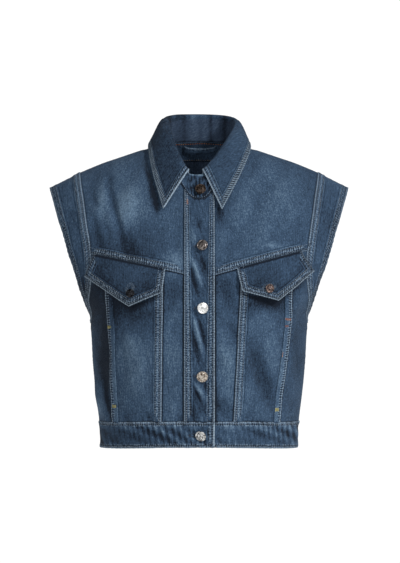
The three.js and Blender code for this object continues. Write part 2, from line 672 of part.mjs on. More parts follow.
// The back panel, from side line to side line. Its top edge runs up one armhole seam, along the
// yoke and down the other.
function backPanel() {
  const face = "back";
  const seam = [...UNDER_YOKE, ...UNDER_BACK_YOKE].sort((a, b) => a - b);
  const rising = seam.map((z) => beside(face, (h) => seamT(face, h), z, -CURVED_GAP / 2));
  rising[0] = { t: 1, z: SEAM_SIDE_Z - CURVED_GAP / 2 };
  const corner = BACK_YOKE_Z - CURVED_GAP;
  rising.push({ ...beside(face, (h) => seamT(face, h), corner, -CURVED_GAP / 2), z: BACK_YOKE_Z - GAP / 2 });
  const yokeColumns = 9;
  const footX = 112; // where the panel's foot reaches, below the yoke's corners
  const cornerX = xAt(rising[rising.length - 1].t, BACK_YOKE_Z);
  const top = rising.map((p) => ({ t: -p.t, z: p.z }));
  for (let k = 1; k < yokeColumns; k++) {
    const z = BACK_YOKE_Z - GAP / 2;
    top.push({ t: tAt(lerp(-cornerX, cornerX, k / yokeColumns), z), z });
  }
  top.push(...rising.slice().reverse());
  const rows = 10;
  const footT = (i) => {
    const n = rising.length - 1;
    const inner = tAt(footX, WAIST_Z);
    if (i <= n) return -lerp(1, inner, i / n);
    if (i >= top.length - 1 - n) return lerp(1, inner, (top.length - 1 - i) / n);
    return lerp(-inner, inner, (i - n) / yokeColumns);
  };
  const place = (i, j) => {
    const u = j / (rows - 1);
    return { t: lerp(footT(i), top[i].t, u), z: lerp(WAIST_Z + GAP / 2, top[i].z, u) };
  };
  clothPiece("back_panel", face, top.length, rows, place, () => 0, () => -CLOTH);
}

// A length of waistband between two places, with its own lift off the form
function bandPiece(name, face, fromT, toT, columns, lift) {
  const rows = 4;
  const place = (i, j) => {
    const t = lerp(fromT, toT, i / (columns - 1));
    return { t, z: lerp(hemZ(face, t), waistZ(face, t) - GAP / 2, j / (rows - 1)) };
  };
  const liftAt = (i) => lift(xAt(lerp(fromT, toT, i / (columns - 1)), HEM_Z));
  clothPiece(name, face, columns, rows, place, (i) => liftAt(i), (i) => liftAt(i) - DOUBLE);
}

function waistband() {
  const { proud, overFrom, overTo, underFrom, underTo } = BAND_LIFT;
  const over = (x) => lerp(proud, PLACKET.out, smoothstep(x, overFrom, overTo));
  const under = (x) => lerp(0, proud, smoothstep(x, underFrom, underTo));
  bandPiece("waistband_front_right", "front", tAt(BAND_END.over, WAIST_Z), -1, 19, over);
  bandPiece("waistband_front_left", "front", tAt(BAND_END.under, WAIST_Z), 1, 18, under);
  bandPiece("waistband_back", "back", -1, 1, 25, () => proud);
}

// A placket: a double strip from the waistband up to the neckline
function placket(name, size, rowCount) {
  const face = "front";
  const place = (i, j) => {
    const x = size.columns[i];
    const foot = waistZ(face, 0) + GAP;
    const z = lerp(foot, neckZ(face, x) - GAP, j / rowCount);
    return { t: tAt(x, z), z };
  };
  clothPiece(name, face, size.columns.length, rowCount + 1, place, () => size.out, () => size.in);
}

// A pocket flap: hung from the yoke seam, pointed below, and standing off towards its point
function flap(side) {
  const face = "front";
  const f = side.flap;
  const { inShares, outShares, tipShare } = FLAP;
  const columns = inShares.length + outShares.length;
  const rows = 7;
  const foot = (i) => {
    if (i < inShares.length) {
      const u = inShares[i];
      return { x: lerp(f.inner.x, f.tip.x, u), z: lerp(f.inner.z, f.tip.z, u) };
    }
    const u = outShares[i - inShares.length];
    return { x: lerp(f.tip.x, f.outer.x, u), z: lerp(f.tip.z, f.outer.z, u) };
  };
  const topShare = (i) => (i < inShares.length
    ? inShares[i] * tipShare
    : lerp(tipShare, 1, outShares[i - inShares.length]));
  const place = (i, j) => {
    const u = j / (rows - 1);
    const s = topShare(i);
    const x = lerp(f.topInner.x, f.topOuter.x, s);
    const high = { x, z: yokeZ(side, x) - GAP };
    const at = { x: lerp(foot(i).x, high.x, u), z: lerp(foot(i).z, high.z, u) };
    return { t: side.sign * tAt(at.x, at.z), z: at.z };
  };
  const stand = (i, j) => {
    const down = 1 - j / (rows - 1);
    const middle = Math.sin(Math.PI * clamp(topShare(i), 0.08, 0.92));
    const base = FLAP.clear + FLAP.underWelt * smoothstep(down, 0.25, 0.7);
    const lift = FLAP.lift * down ** 2 * (0.35 + 0.65 * middle);
    return base + lift + FLAP.belly * Math.sin(Math.PI * down) * middle;
  };
  clothPiece(`flap_${side.name}`, face, columns, rows, place, (i, j) => stand(i, j) + FLAP.thick, stand);
}

// A button of the shank kind, turned on its own axis: a stem, a rim and a shallow dome
function buttonGeometry(b) {
  const top = b.stem + b.rim;
  const profile = [
    [0, 0],
    [b.shank, 0],
    [b.shank, b.stem],
    [b.radius * 0.9, b.stem],
    [b.radius, b.stem + b.rim * 0.45],
    [b.radius * 0.84, top + b.dome * 0.15],
    [b.radius * 0.76, top - 0.1],
    [b.radius * 0.5, top + b.dome * 0.7],
    [0, top + b.dome],
  ];
  const points = profile.map(([r, h]) => new THREE.Vector2(r, h));
  return new THREE.LatheGeometry(points, b.sides).rotateX(Math.PI / 2);
}

// Seats a button on the cloth that carries it, just clear of it when it is tilted
function setButton(name, size, finish, at, normal, turn, nod) {
  const mesh = add(name, buttonGeometry(size), finish);
  const tilt = degrees(Math.abs(turn) + Math.abs(nod));
  mesh.position.copy(at).addScaledVector(normal, GAP + size.shank * Math.sin(tilt));
  mesh.quaternion.setFromUnitVectors(new THREE.Vector3(0, 0, 1), normal);
  mesh.rotateX(degrees(nod));
  mesh.rotateY(degrees(turn));
}

// Where a line square to the form meets the outside of a piece
function onPiece(name, x, z) {
  const t = tAt(x, z);
  const normal = formNormal("front", t, z);
  const from = form("front", t, z).addScaledVector(normal, 50);
  const piece = group.getObjectByName(name);
  const hit = new THREE.Raycaster(from, normal.clone().negate()).intersectObject(piece)[0];
  return { at: hit.point, normal: hit.face.normal };
}

function frontButtons() {
  for (const b of FRONT_BUTTONS) {
    const { at, normal } = onPiece(b.on, b.x, b.z);
    setButton(b.name, BUTTON, "button_metal", at, normal, b.turn, b.nod);
  }
}

function flapButton(side) {
  const { x, z } = side.flap.button;
  const { at, normal } = onPiece(`flap_${side.name}`, side.sign * x, z);
  setButton(`flap_button_${side.name}`, FLAP_BUTTON, "copper_metal", at, normal, 0, 0);
}

// The neck seam at an angle round the neck
function neckPoint(angle, out) {
  const a = degrees(angle);
  const x = -NECK_HALF * Math.sin(a);
  const face = Math.cos(a) >= 0 ? "front" : "back";
  const { from, to, share } = neckSpan(face, x);
  const corner = (c) => {
    const z = neckZ(face, c.x);
    const t = Math.sign(x || 1) * tAt(c.x, z);
    return form(face, t, z).addScaledVector(formNormal(face, t, z), out);
  };
  return corner(from).lerp(corner(to), share);
}
const column = (table, angle) => {
  const at = (name) => read(table, "angle", angle, name);
  return new THREE.Vector3(at("x"), at("y"), at("z"));
};

// The collar's frame at an angle: the neck seam, the roll line, and the directions up the stand
// and out from the neck. The right end lies outside the left end where they lap.
function collarFrame(angle) {
  const over = OVERLAP.out * (1 - smoothstep(angle, OVERLAP.outFrom, OVERLAP.outTo));
  const lap = over - OVERLAP.in * smoothstep(angle, OVERLAP.inFrom, OVERLAP.inTo);
  const low = neckPoint(angle, 0.2);
  const high = column(ROLL, angle);
  const tangent = column(ROLL, angle + 1).sub(column(ROLL, angle - 1))
    .add(neckPoint(angle + 1, 0)).sub(neckPoint(angle - 1, 0)).normalize();
  const up = high.clone().sub(low);
  const height = up.length();
  up.normalize();
  const outward = up.clone().cross(tangent).normalize();
  if (outward.dot(new THREE.Vector3(low.x, low.y, 0)) < 0) outward.negate();
  low.addScaledVector(outward, lap);
  high.addScaledVector(outward, lap);
  return { low, high, up, outward, height };
}

const LEAF_ANGLES = [];
for (let k = 0; k <= LEAF.columns; k++) LEAF_ANGLES.push(lerp(LEAF.start, LEAF.end, k / LEAF.columns));
const STAND_ANGLES = [...STAND.firstAngles, ...LEAF_ANGLES, ...STAND.lastAngles];

function collarStand() {
  const columns = STAND_ANGLES.length;
  const rows = 3;
  const pair = (i, j) => {
    const angle = STAND_ANGLES[i];
    const f = collarFrame(angle);
    const into = clamp((STAND.roundFrom - angle) / (STAND.roundFrom - STAND_ANGLES[0]), 0, 1);
    const round = lerp(STAND.endHeight, 1, Math.sqrt(1 - into ** 2));
    const tall = (f.height - STAND.lip - GAP) * round;
    const p = f.low.clone().addScaledVector(f.up, lerp(CURVED_GAP, tall, j / (rows - 1)));
    const half = STAND.thick / 2;
    return [p.clone().addScaledVector(f.outward, half), p.clone().addScaledVector(f.outward, -half)];
  };
  add("collar_stand", wall(columns, rows, pair), "denim");
}

// The collar's leaf: a short lip on the stand, the roll, and the leaf that falls to the edge
function collarLeaf() {
  const columns = LEAF_ANGLES.length;
  const rollSteps = 4;
  const fallSteps = 4;
  const rows = 1 + rollSteps + 1 + fallSteps;
  const middle = (angle, j) => {
    const f = collarFrame(angle);
    const r = read(ROLL, "angle", angle, "radius");
    if (j === 0) return f.high.clone().addScaledVector(f.up, -STAND.lip);
    if (j <= rollSteps + 1) {
      const a = (Math.PI * (j - 1)) / rollSteps;
      const rolled = f.high.clone().addScaledVector(f.outward, r * (1 - Math.cos(a)));
      return rolled.addScaledVector(f.up, r * Math.sin(a));
    }
    const from = f.high.clone().addScaledVector(f.outward, 2 * r);
    const edge = column(LEAF_EDGE, angle);
    const u = (j - rollSteps - 1) / fallSteps;
    const belly = read(LEAF_EDGE, "angle", angle, "belly");
    return from.lerp(edge, u).addScaledVector(f.outward, belly * Math.sin(Math.PI * Math.sqrt(u)));
  };
  const pair = (i, j) => {
    const angle = LEAF_ANGLES[i];
    const p = middle(angle, j);
    const down = middle(angle, Math.min(j + 1, rows - 1)).sub(middle(angle, Math.max(j - 1, 0)));
    const round = middle(angle + 0.5, j).sub(middle(angle - 0.5, j));
    const normal = round.cross(down).normalize();
    const half = LEAF.thick / 2;
    return [p.clone().addScaledVector(normal, half), p.clone().addScaledVector(normal, -half)];
  };
  add("collar_leaf", wall(columns, rows, pair), "denim");
}

function collarButton() {
  const f = collarFrame(COLLAR_BUTTON.angle);
  const at = f.low.clone().addScaledVector(f.up, f.height * COLLAR_BUTTON.up)
    .addScaledVector(f.outward, STAND.thick / 2);
  setButton("button_1", BUTTON, "button_metal", at, f.outward, COLLAR_BUTTON.turn, COLLAR_BUTTON.nod);
}

// The facing inside the back neck, and the hanging loop sewn into the neck seam over it
function neckFacing() {
  const { rows: yokeRows, place } = backYokeGrid();
  const first = BACK_SHOULDER_COLUMNS + 1;
  const columns = BACK_CORNERS.length - 2;
  const from = yokeRows - FACING.rows;
  const at = (i, j) => place(first + i, from + j);
  clothPiece("neck_facing", "back", columns, FACING.rows, at, () => FACING.out, () => FACING.in);
}

function hangingLoop() {
  const face = "back";
  const columns = 13;
  const rows = 3;
  const pair = (i, j) => {
    const u = i / (columns - 1);
    const bow = Math.sqrt(Math.sin(Math.PI * clamp(u, 0.001, 0.999)));
    const x = lerp(LOOP.right, LOOP.left, u);
    const z = neckZ(face, x) - LOOP.drop - LOOP.hang * bow - (LOOP.wide * j) / (rows - 1);
    const away = FACING.in - CURVED_GAP - LOOP.off * bow;
    const t = tAt(x, z);
    return [cloth(face, t, z, away), cloth(face, t, z, away - LOOP.thick)];
  };
  add("hanging_loop", wall(columns, rows, pair), "denim");
}

backPanel();
backYoke();
for (const side of SIDES) {
  frontYoke(side);
  lowerFronts(side);
  sidePanel(side);
  cap(side, "front");
  cap(side, "back");
  flap(side);
  flapButton(side);
}
waistband();
placket("placket", PLACKET, 24);
placket("placket_under", UNDER_PLACKET, 16);
collarStand();
collarLeaf();
frontButtons();
collarButton();
neckFacing();
hangingLoop();

export default group;
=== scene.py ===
# A cropped, sleeveless denim jacket with cap shoulders, filled out with nobody in it.
# The cloth is cut and placed in millimetres, on the same hollow form as its solids: a place on it is
# (face, t, z), where t runs from 0 at the centre to 1 at the side, and is negative on the wearer's
# right. Meshes are written in metres, with +Z up, +X to the wearer's left and -Y to the front.
import math

import bpy
import numpy as np
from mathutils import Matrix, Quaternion, Vector


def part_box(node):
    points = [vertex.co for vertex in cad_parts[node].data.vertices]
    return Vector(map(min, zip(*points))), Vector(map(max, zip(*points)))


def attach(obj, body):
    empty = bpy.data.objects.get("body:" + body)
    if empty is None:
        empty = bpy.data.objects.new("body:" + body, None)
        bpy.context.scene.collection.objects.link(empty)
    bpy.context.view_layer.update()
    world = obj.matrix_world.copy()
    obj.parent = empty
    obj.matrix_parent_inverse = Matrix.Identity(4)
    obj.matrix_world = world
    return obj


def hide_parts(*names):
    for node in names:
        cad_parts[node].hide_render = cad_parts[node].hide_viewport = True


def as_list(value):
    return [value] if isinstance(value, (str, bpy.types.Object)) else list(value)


MM = 0.001

# Cloth and seams
CLOTH = 1.2
DOUBLE = 2.1
GAP = 0.3
CURVED_GAP = 0.6
FACE_GAP = 0.2
SEAM_RAISE = 0.9
SEAM_BAND = 10.0
SEAM_SLOPE = 1.5
STITCH_IN = 3.0  # the first stitch row's distance from a seam's edge
STITCH_APART = 6.5  # and the second row's distance from the first

# How finely the cloth is divided
FRONT_PITCH = 2.2
BACK_PITCH = 3.2
FINE_PITCH = 1.6

# Heights
WAIST_Z = -436.0
HEM_Z = -476.5
WAIST_RISE = 4.0
HEM_RISE = 5.5
BACK_YOKE_Z = -105.0
BAND_END = {"over": 23.6, "under": -12.0}

# Armholes
TIP_X = 238.5
TIP_Z = -62.4
UNDERARM_Z = -262.0
UNDERARM_X = 177.0
UNDERARM_POWER = 0.6  # how the cap's seam bends round to the side line
SEAM_TOP_X = 190.5
SEAM_SIDE_Z = -279.0
CAP_HEM = 12.0

# Front opening
PANEL_EDGE = {"right": 22.7, "left": 24.0}
PLACKET = {"right": -22.3, "left": 23.6, "out": 2.5, "in": 0.3}
UNDER_PLACKET = {"right": -15.4, "left": 23.6, "out": 0.0, "in": -2.0}
NECK_HALF = 74.0


def table(names, *rows):
    """A small table with named columns."""
    return dict(zip(names.split(), np.array(rows, float).T))


# The hollow form: half width, depth of the centre front and back, and how round the sides are
SECTIONS = table(
    "z half front back round",
    (-479, 156.5, 104, 92, 2.0),
    (-436, 159.5, 107, 94, 2.0),
    (-400, 164, 112, 97, 2.0),
    (-340, 170, 119, 102, 2.0),
    (-290, 173, 124, 106, 2.0),
    (-262, 177, 125, 108, 1.95),
    (-249, 187, 125, 109, 1.9),
    (-235, 198, 124, 109, 1.85),
    (-200, 223, 120, 110, 1.7),
    (-150, 249, 108, 109, 1.55),
    (-100, 268, 91, 104, 1.45),
    (-62, 280, 75, 98, 1.4),
    (0, 292, 56, 82, 1.4),
    (60, 304, 42, 62, 1.4),
)
SQUARE = {"front": 2.5, "back": 2.8}
SHOULDER = table(
    "x z",
    (0, 62),
    (40, 50),
    (62, 22),
    (78, 2),
    (94, -3.2),
    (113, -9.6),
    (132, -16),
    (151, -22.4),
    (170, -30),
    (190, -38.6),
    (209, -48),
    (228, -57.5),
    (238.5, -62.4),
    (262, -74),
)
SHOULDER_ROUND = 100.0
SHOULDER_POWER = 2.2
UPWARDS = 60.0  # how far up the outward side is looked for, as shoulders face up
NECKLINE = {
    "front": table(
        "x z", (0, -85), (11, -82), (23.3, -67.5), (33, -52), (44, -36), (54, -21.5), (64, -7.5), (74, 6)
    ),
    "back": table("x z", (0, 14), (23, 13.6), (43.5, 12.4), (60, 10.6), (70.5, 8.4), (74, 6)),
}
ARMHOLE_SEAM = {
    "front": table(
        "z x",
        (-243, 173.5),
        (-211, 169.5),
        (-190, 169),
        (-173, 170),
        (-150, 172.5),
        (-117, 177.5),
        (-38.8, SEAM_TOP_X),
    ),
    "back": table(
        "z x", (-243, 177), (-211, 176), (-190, 176), (-150, 178), (-117, 181), (-38.8, SEAM_TOP_X)
    ),
}
SIDES = [
    {
        "name": "right",
        "sign": -1,
        "yoke": table("x z", (22, -200.6), (168.5, -169)),
        "vertical": table("z x", (-436, 59.3), (-190, 56.2)),
        "pocket": table(
            "z x", (-436, 134.5), (-392, 137.9), (-329, 140.8), (-274, 142.6), (-241, 145), (-165, 150)
        ),
        "flap": {
            "top": table("share x z", (0, 53.2, -196), (1, 163.9, -172.2)),
            "foot": table("share x z", (0, 56.8, -230), (0.44, 104.8, -249.5), (1, 173.2, -203.5)),
            "fade_and_shade": -0.3,
        },
    },
    {
        "name": "left",
        "sign": 1,
        "yoke": table("x z", (22, -202.7), (166, -163.6)),
        "vertical": table("z x", (-436, 54.5), (-190, 67)),
        "pocket": table(
            "z x", (-436, 125.5), (-400, 128.8), (-352, 134.8), (-274, 144), (-241, 144.4), (-165, 147)
        ),
        "flap": {
            "top": table("share x z", (0, 59.6, -194), (1, 159, -167.8)),
            "foot": table("share x z", (0, 66.3, -227.5), (0.44, 118.8, -240.5), (1, 175.5, -195.5)),
            "fade_and_shade": -0.32,
        },
    },
]
WELT = {"width": 9.5, "top": -209.0, "out": 1.7, "edge": 2.1, "in": 0.3}
FLAP = {"thick": 2.0, "clear": 1.3, "lift": 7.0, "belly": 2.2, "under_welt": 2.2}

# The largest folds, along straight lines, as they fall in the filled-out cloth. In these tables a
# height above 0 is a ridge, and below 0 a trough.
FOLDS = {
    "front": table(
        "x1 z1 x2 z2 wide high",
        (-124, -62, -118, -150, 13, 2.2),
        (-163, -60, -158, -150, 9, 1.8),
        (-152, -225, -146, -425, 9, -3.4),
        (-163, -330, -138, -440, 10, 2.6),
        (-102, -262, -92, -400, 20, 2.2),
        (82, -272, 116, -418, 13, -3.4),
        (108, -262, 128, -372, 14, 2.2),
        (22, -386, 66, -432, 8, -2.8),
        (40, -200, 52, -270, 8, -2.6),
        (96, -48, 88, -160, 17, -1.8),
        (142, -60, 134, -150, 14, 1.8),
    ),
    "back": table(
        "x1 z1 x2 z2 wide high",
        (-132, -120, -84, -330, 17, -3.2),
        (-108, -250, -100, -430, 16, 2.4),
        (126, -130, 90, -300, 16, -2.8),
        (98, -290, 116, -430, 15, -2.6),
        (-20, -240, -8, -425, 22, 2.2),
        (42, -330, 34, -436, 13, -2.2),
    ),
}
# Narrower creases of the same kind
CREASES = {
    "front": table(
        "x1 z1 x2 z2 wide high",
        (-112, -56, -100, -140, 12, 2.1),
        (-98, -58, -92, -128, 6, -1),
        (-70, -118, -52, -176, 6, -1.6),
        (-40, -130, -28, -192, 5, -1.8),
        (-86, -140, -64, -188, 7, 1.3),
        (-44, -250, -38, -330, 5, -1.3),
        (-30, -360, -44, -425, 5, 1.3),
        (-34, -214, -52, -262, 6, -1.6),
        (-122, -280, -116, -380, 6, -1.3),
        (-84, -300, -78, -420, 6, -1.3),
        (-72, -262, -90, -330, 6, 1.3),
        (-158, -260, -166, -330, 6, -2.1),
        (-163, -372, -141, -430, 5, -2.9),
        (-140, -418, -118, -396, 4, -1.8),
        (-124, -428, -96, -412, 5, -1.4),
        (-128, -402, -104, -398, 4, 1.2),
        (-62, -424, -40, -408, 5, -1.3),
        (52, -120, 42, -190, 7, -1.6),
        (34, -96, 78, -176, 14, -2.1),
        (110, -110, 96, -160, 9, 1.6),
        (150, -92, 160, -150, 6, -2.1),
        (146, -66, 128, -132, 9, -1.8),
        (72, -236, 86, -300, 6, -1.7),
        (30, -216, 46, -248, 5, -1.6),
        (34, -300, 48, -352, 8, 1.8),
        (92, -350, 78, -428, 6, -1.7),
        (104, -388, 122, -434, 5, -2.1),
        (30, -352, 44, -392, 6, -1.2),
        (62, -428, 96, -418, 4, -1.3),
        (150, -300, 158, -390, 6, -2),
        (140, -420, 154, -396, 4, -1.6),
        (118, -270, 134, -330, 7, -1.4),
    ),
    "back": table(
        "x1 z1 x2 z2 wide high",
        (-60, -130, -40, -240, 8, -2),
        (66, -140, 48, -230, 8, -1.8),
        (-140, -230, -150, -330, 7, -2.1),
        (146, -240, 152, -350, 7, -2.2),
        (10, -350, 22, -432, 7, -1.7),
        (-66, -360, -52, -432, 7, 1.6),
        (70, -380, 82, -434, 6, -1.8),
        (-130, -60, -110, -100, 7, -1.6),
        (118, -54, 104, -100, 7, -1.6),
        (-100, -140, -70, -210, 7, -1.8),
        (96, -130, 74, -190, 6, -1.6),
        (-30, -260, -14, -340, 7, -1.4),
        (32, -236, 20, -320, 8, 1.4),
        (-118, -390, -92, -432, 5, -1.8),
        (128, -400, 108, -434, 5, -1.7),
    ),
}
# The deepest creases of the front, as bent lines: x, z, width and height at each bend
BENT_CREASES = (
    ((-148, -34, 4, 0), (-143, -55, 5, -3.4), (-138, -82, 5.5, -5.0), (-132, -102, 6, -5.4),
     (-126, -123, 6, -5.4), (-121, -142, 6, -5.0), (-116, -162, 5.5, -4.6), (-110, -182, 5, -2.5)),
    ((-156, -60, 8, 0), (-150, -84, 8, 1.6), (-142, -106, 8, 1.8), (-136, -130, 7, 0)),
    ((-172, -60, 4, 0), (-167, -79, 5, -2.8), (-163, -92, 5, -2.6), (-160, -102, 4, 0)),
    (
        (-168, -98, 4, 0), (-164, -118, 5, -3.0), (-160, -138, 6, -3.6),
        (-155, -156, 6, -3.2), (-150, -172, 5, -1.2),
    ),
    ((-147, -118, 4, 0), (-143, -132, 5, -2.2), (-140, -148, 5, -1.8), (-137, -160, 4, 0)),
    ((-113, -126, 4, 0), (-109, -142, 5, -2.6), (-106, -160, 6, -3.2), (-102, -178, 5, -1.5)),
    ((-80, -160, 4, 0), (-75, -172, 4.5, -2.6), (-70, -186, 4, -1.0)),
    ((32, -266, 4, 0), (40, -277, 5, -2.6), (49, -285, 6, -3.4), (57, -298, 7, -3.2), (62, -316, 6, 0)),
    ((72, -286, 5, 0), (80, -320, 7, -3.0), (89, -345, 9, -4.8), (98, -368, 10, -5.4), (107, -390, 9, -4.2),
     (118, -410, 7, 0)),
    ((96, -300, 9, 0), (108, -330, 10, 2.2), (116, -358, 9, 1.8), (124, -380, 8, 0)),
    ((22, -392, 4, 0), (28, -406, 6, -3.6), (38, -417, 6, -3.8), (50, -428, 5, -2.6), (58, -434, 4, 0)),
    ((64, -429, 3, 0), (76, -432, 3.5, -2.2), (96, -433, 3.5, -2.0), (110, -430, 3, 0)),
    ((-84, -414, 3, 0), (-80, -423, 4, -2.6), (-75, -435, 4, -2.0)),
    ((-118, -410, 3, 0), (-115, -422, 4, -2.4), (-111, -435, 4, -2.0)),
    ((-35, -416, 3, 0), (-31, -426, 4, -2.2), (-27, -436, 4, -1.6)),
    (
        (-168, -282, 7, 0), (-162, -322, 9, -2.6), (-152, -362, 9, -3.4),
        (-143, -398, 7, -3.0), (-137, -418, 5, 0),
    ),
    ((-163, -366, 7, 0), (-158, -392, 8, 3.0), (-150, -418, 8, 2.6), (-144, -436, 6, 1.0)),
)
# The same of the back
BACK_CREASES = (
    (
        (-128, -122, 6, 0), (-116, -156, 8, -3.6), (-104, -196, 9, -4.4),
        (-92, -240, 8, -3.2), (-84, -280, 7, 0),
    ),
    ((-112, -130, 8, 0), (-98, -170, 9, 2.2), (-84, -220, 9, 1.8), (-74, -260, 8, 0)),
    ((122, -130, 6, 0), (110, -166, 8, -3.2), (100, -210, 8, -3.8), (90, -262, 7, 0)),
    ((-110, -300, 7, 0), (-104, -346, 9, -3.6), (-98, -392, 9, -4.2), (-92, -430, 7, -1.5)),
    ((104, -286, 7, 0), (112, -336, 9, -3.6), (118, -386, 9, -4.2), (120, -428, 7, -1.5)),
    ((-34, -316, 7, 0), (-26, -366, 8, -2.8), (-20, -410, 7, -2.6), (-17, -434, 5, 0)),
    ((46, -330, 7, 0), (42, -376, 8, -3.2), (36, -418, 7, -2.8), (34, -434, 5, 0)),
    ((-150, -52, 5, 0), (-138, -70, 6, -2.8), (-124, -92, 5, 0)),
    ((146, -52, 5, 0), (132, -72, 6, -2.8), (118, -94, 5, 0)),
)
# The slanting wrinkles that the buttons pull in the placket, in the same form
PLACKET_CREASES = (
    ((-13, -122, 3, 0), (-8, -146, 3.4, 1.0), (-3, -164, 3, 0)),
    ((-6, -108, 3, 0), (0, -124, 3.2, -1.1), (6, -140, 3, 0)),
    ((-13, -170, 3, 0), (-7, -188, 3.6, 1.7), (0, -206, 3.6, 1.6), (6, -226, 3, 0)),
    ((-17, -178, 3, 0), (-11, -200, 3.4, -1.5), (-5, -222, 3.4, -1.5), (0, -244, 3, 0)),
    ((0, -166, 3, 0), (7, -186, 3.4, -1.3), (12, -208, 3, 0)),
    ((-13, -256, 3, 0), (-6, -278, 3.6, 1.8), (1, -302, 3.6, 1.8), (8, -334, 3, 0)),
    ((-5, -262, 3, 0), (2, -282, 3.4, -1.5), (8, -306, 3.4, -1.4), (12, -326, 3, 0)),
    ((-15, -280, 3, 0), (-8, -304, 3.4, -1.5), (-1, -328, 3.2, -1.2), (4, -350, 3, 0)),
    ((-8, -368, 3, 0), (0, -380, 3.4, 1.9), (9, -398, 3.2, 0.6)),
    ((-11, -372, 3, 0), (-3, -387, 3.4, -1.7), (6, -406, 3, 0)),
    ((4, -364, 3, 0), (11, -376, 3.2, -1.5), (17, -390, 3, 0)),
    ((-11, -396, 3, 0), (-9, -416, 3.2, -1.2), (-7, -438, 3, -0.6)),
    ((2, -410, 3, 0), (5, -424, 3.2, 1.0), (6, -438, 3, 0.4)),
)
# Slight waves all over the cloth: long in millimetres along x and z, turn, and height
WAVES = table(
    "x z turn high",
    (41, 67, 0.4, 0.45),
    (-29, 53, 1.9, 0.4),
    (23, -37, 3.1, 0.3),
    (17, 29, 4.4, 0.22),
    (-13, 19, 5.2, 0.16),
)
CREASE_WANDER = {"far": 0.25, "turns": 6}  # how far a crease strays, by its width, and how often
SHARP = {"fold": 2, "crease": 1.5, "bend": 1.7}  # powers that shape the sides of each kind
CALM = {"side": 0.12, "shoulder": 14}  # how near the side (in t) and shoulder lines folds die out

# Where the cloth is washed paler (an amount above 0) or has stayed darker (below 0), together with
# painted shadows under the flaps and collar leaves, at the armpits, on the sides and beside the
# placket, and a painted highlight along the left yoke seam
FADES_AND_SHADES = {
    "front": table(
        "x z wide tall amount",
        (-112, -92, 40, 46, 0.46),
        (-48, -130, 34, 40, 0.15),
        (-78, -130, 24, 26, -0.4),
        (-32, -180, 16, 20, 0.55),
        (-152, -84, 8, 40, 0.3),
        (108, -86, 48, 44, 0.3),
        (62, -128, 30, 36, 0.3),
        (40, -60, 26, 30, -0.2),
        (-60, -60, 24, 34, -0.15),
        (-108, -346, 26, 70, 0.35),
        (-42, -332, 14, 80, 0.4),
        (-88, -262, 40, 18, -0.4),
        (47, -378, 16, 50, 0.45),
        (40, -318, 12, 36, 0.3),
        (100, -312, 26, 50, 0.45),
        (84, -398, 20, 28, 0.2),
        (152, -320, 26, 90, -0.25),
        (112, -290, 34, 50, -0.15),
        (206, -110, 26, 60, -0.4),
        (-212, -110, 26, 60, -0.05),
        (-152, -300, 18, 130, -0.36),
        (-80, -226, 60, 18, -0.5),
        (100, -222, 60, 16, -0.35),
        (-108, -455, 70, 24, -0.3),
        (32, -104, 6, 14, -0.9),
        (-110, -158, 60, 18, -0.35),
        (118, -157, 20, 5, 0.6),
        (-134, -246, 24, 14, -0.8),
        (-132, -268, 8, 26, -0.5),
        (98, -247, 30, 8, -0.8),
        (-44, -266, 12, 10, 0.35),
        (27, -398, 5, 30, -0.5),
        (40, -214, 22, 12, -0.3),
        (-210, -190, 24, 46, -0.45),
        (-188, -240, 20, 28, -1.0),
        (208, -206, 22, 40, -0.45),
        (190, -242, 16, 24, -0.6),
        (-104, -262, 50, 12, -0.35),
        (104, -254, 50, 10, -0.35),
        (-168, -244, 20, 34, -0.8),
        (-104, -286, 46, 16, -0.3),
        (60, -455, 26, 16, 0.2),
        (-160, -418, 7, 20, 0.7),
        (-172, -330, 8, 40, 0.4),
        (-96, -172, 30, 12, -0.35),
        (-52, -180, 10, 10, 0.25),
        (-112, -100, 30, 30, 0.12),
        (96, -330, 40, 60, -0.15),
        (5, -414, 9, 17, -0.55),
        (6, -196, 8, 26, -0.3),
    ),
    "back": table(
        "x z wide tall amount",
        (-80, -60, 50, 34, 0.35),
        (86, -62, 50, 32, 0.35),
        (-60, -200, 60, 60, 0.3),
        (70, -240, 60, 70, 0.35),
        (0, -360, 90, 50, 0.3),
        (-150, -320, 20, 90, -0.25),
        (150, -320, 20, 90, -0.2),
    ),
}

# Narrow strokes painted on the front: painted shadows under edges and in the deepest creases, and a
# paler line beside the placket: x, z, width and amount at each bend
STROKES = (
    ((-87, -12, 3, 0), (-82.5, -34, 4, -1.0), (-77.5, -52, 4, -1.4), (-72.5, -72, 4.5, -1.6),
     (-67.5, -92, 5, -1.9), (-65, -103, 4, -0.9)),
    (
        (-58, -235, 3, -0.5), (-80, -245, 4, -1.0), (-104, -254, 4.5, -1.3),
        (-130, -238, 5, -1.2), (-160, -216, 5, -0.8),
    ),
    (
        (64, -231, 3, -0.6), (90, -239, 4, -1.3), (119, -246, 4.5, -1.5),
        (146, -226, 4.5, -1.1), (170, -204, 4, -0.5),
    ),
    ((-149, -262, 4, -0.3), (-148, -290, 5, -1.0), (-146.5, -330, 6, -1.3), (-146, -370, 6, -1.2),
     (-146, -394, 4.5, -1.1), (-142, -413, 4, -1.3), (-137, -432, 3, -0.8)),
    ((-181, -206, 8, -0.3), (-178, -232, 9, -0.8), (-175, -258, 9, -0.9), (-176, -276, 8, -0.5)),
    ((24.6, -210, 2.5, -0.5), (24.6, -300, 2.5, -0.8), (24.6, -430, 2.5, -0.9)),
    (
        (-16, -100, 3.5, 0), (-16, -150, 3.5, 0.4), (-16, -200, 3.5, 0.6),
        (-16, -260, 3.5, 0.3), (-16, -320, 3.5, 0),
    ),
)

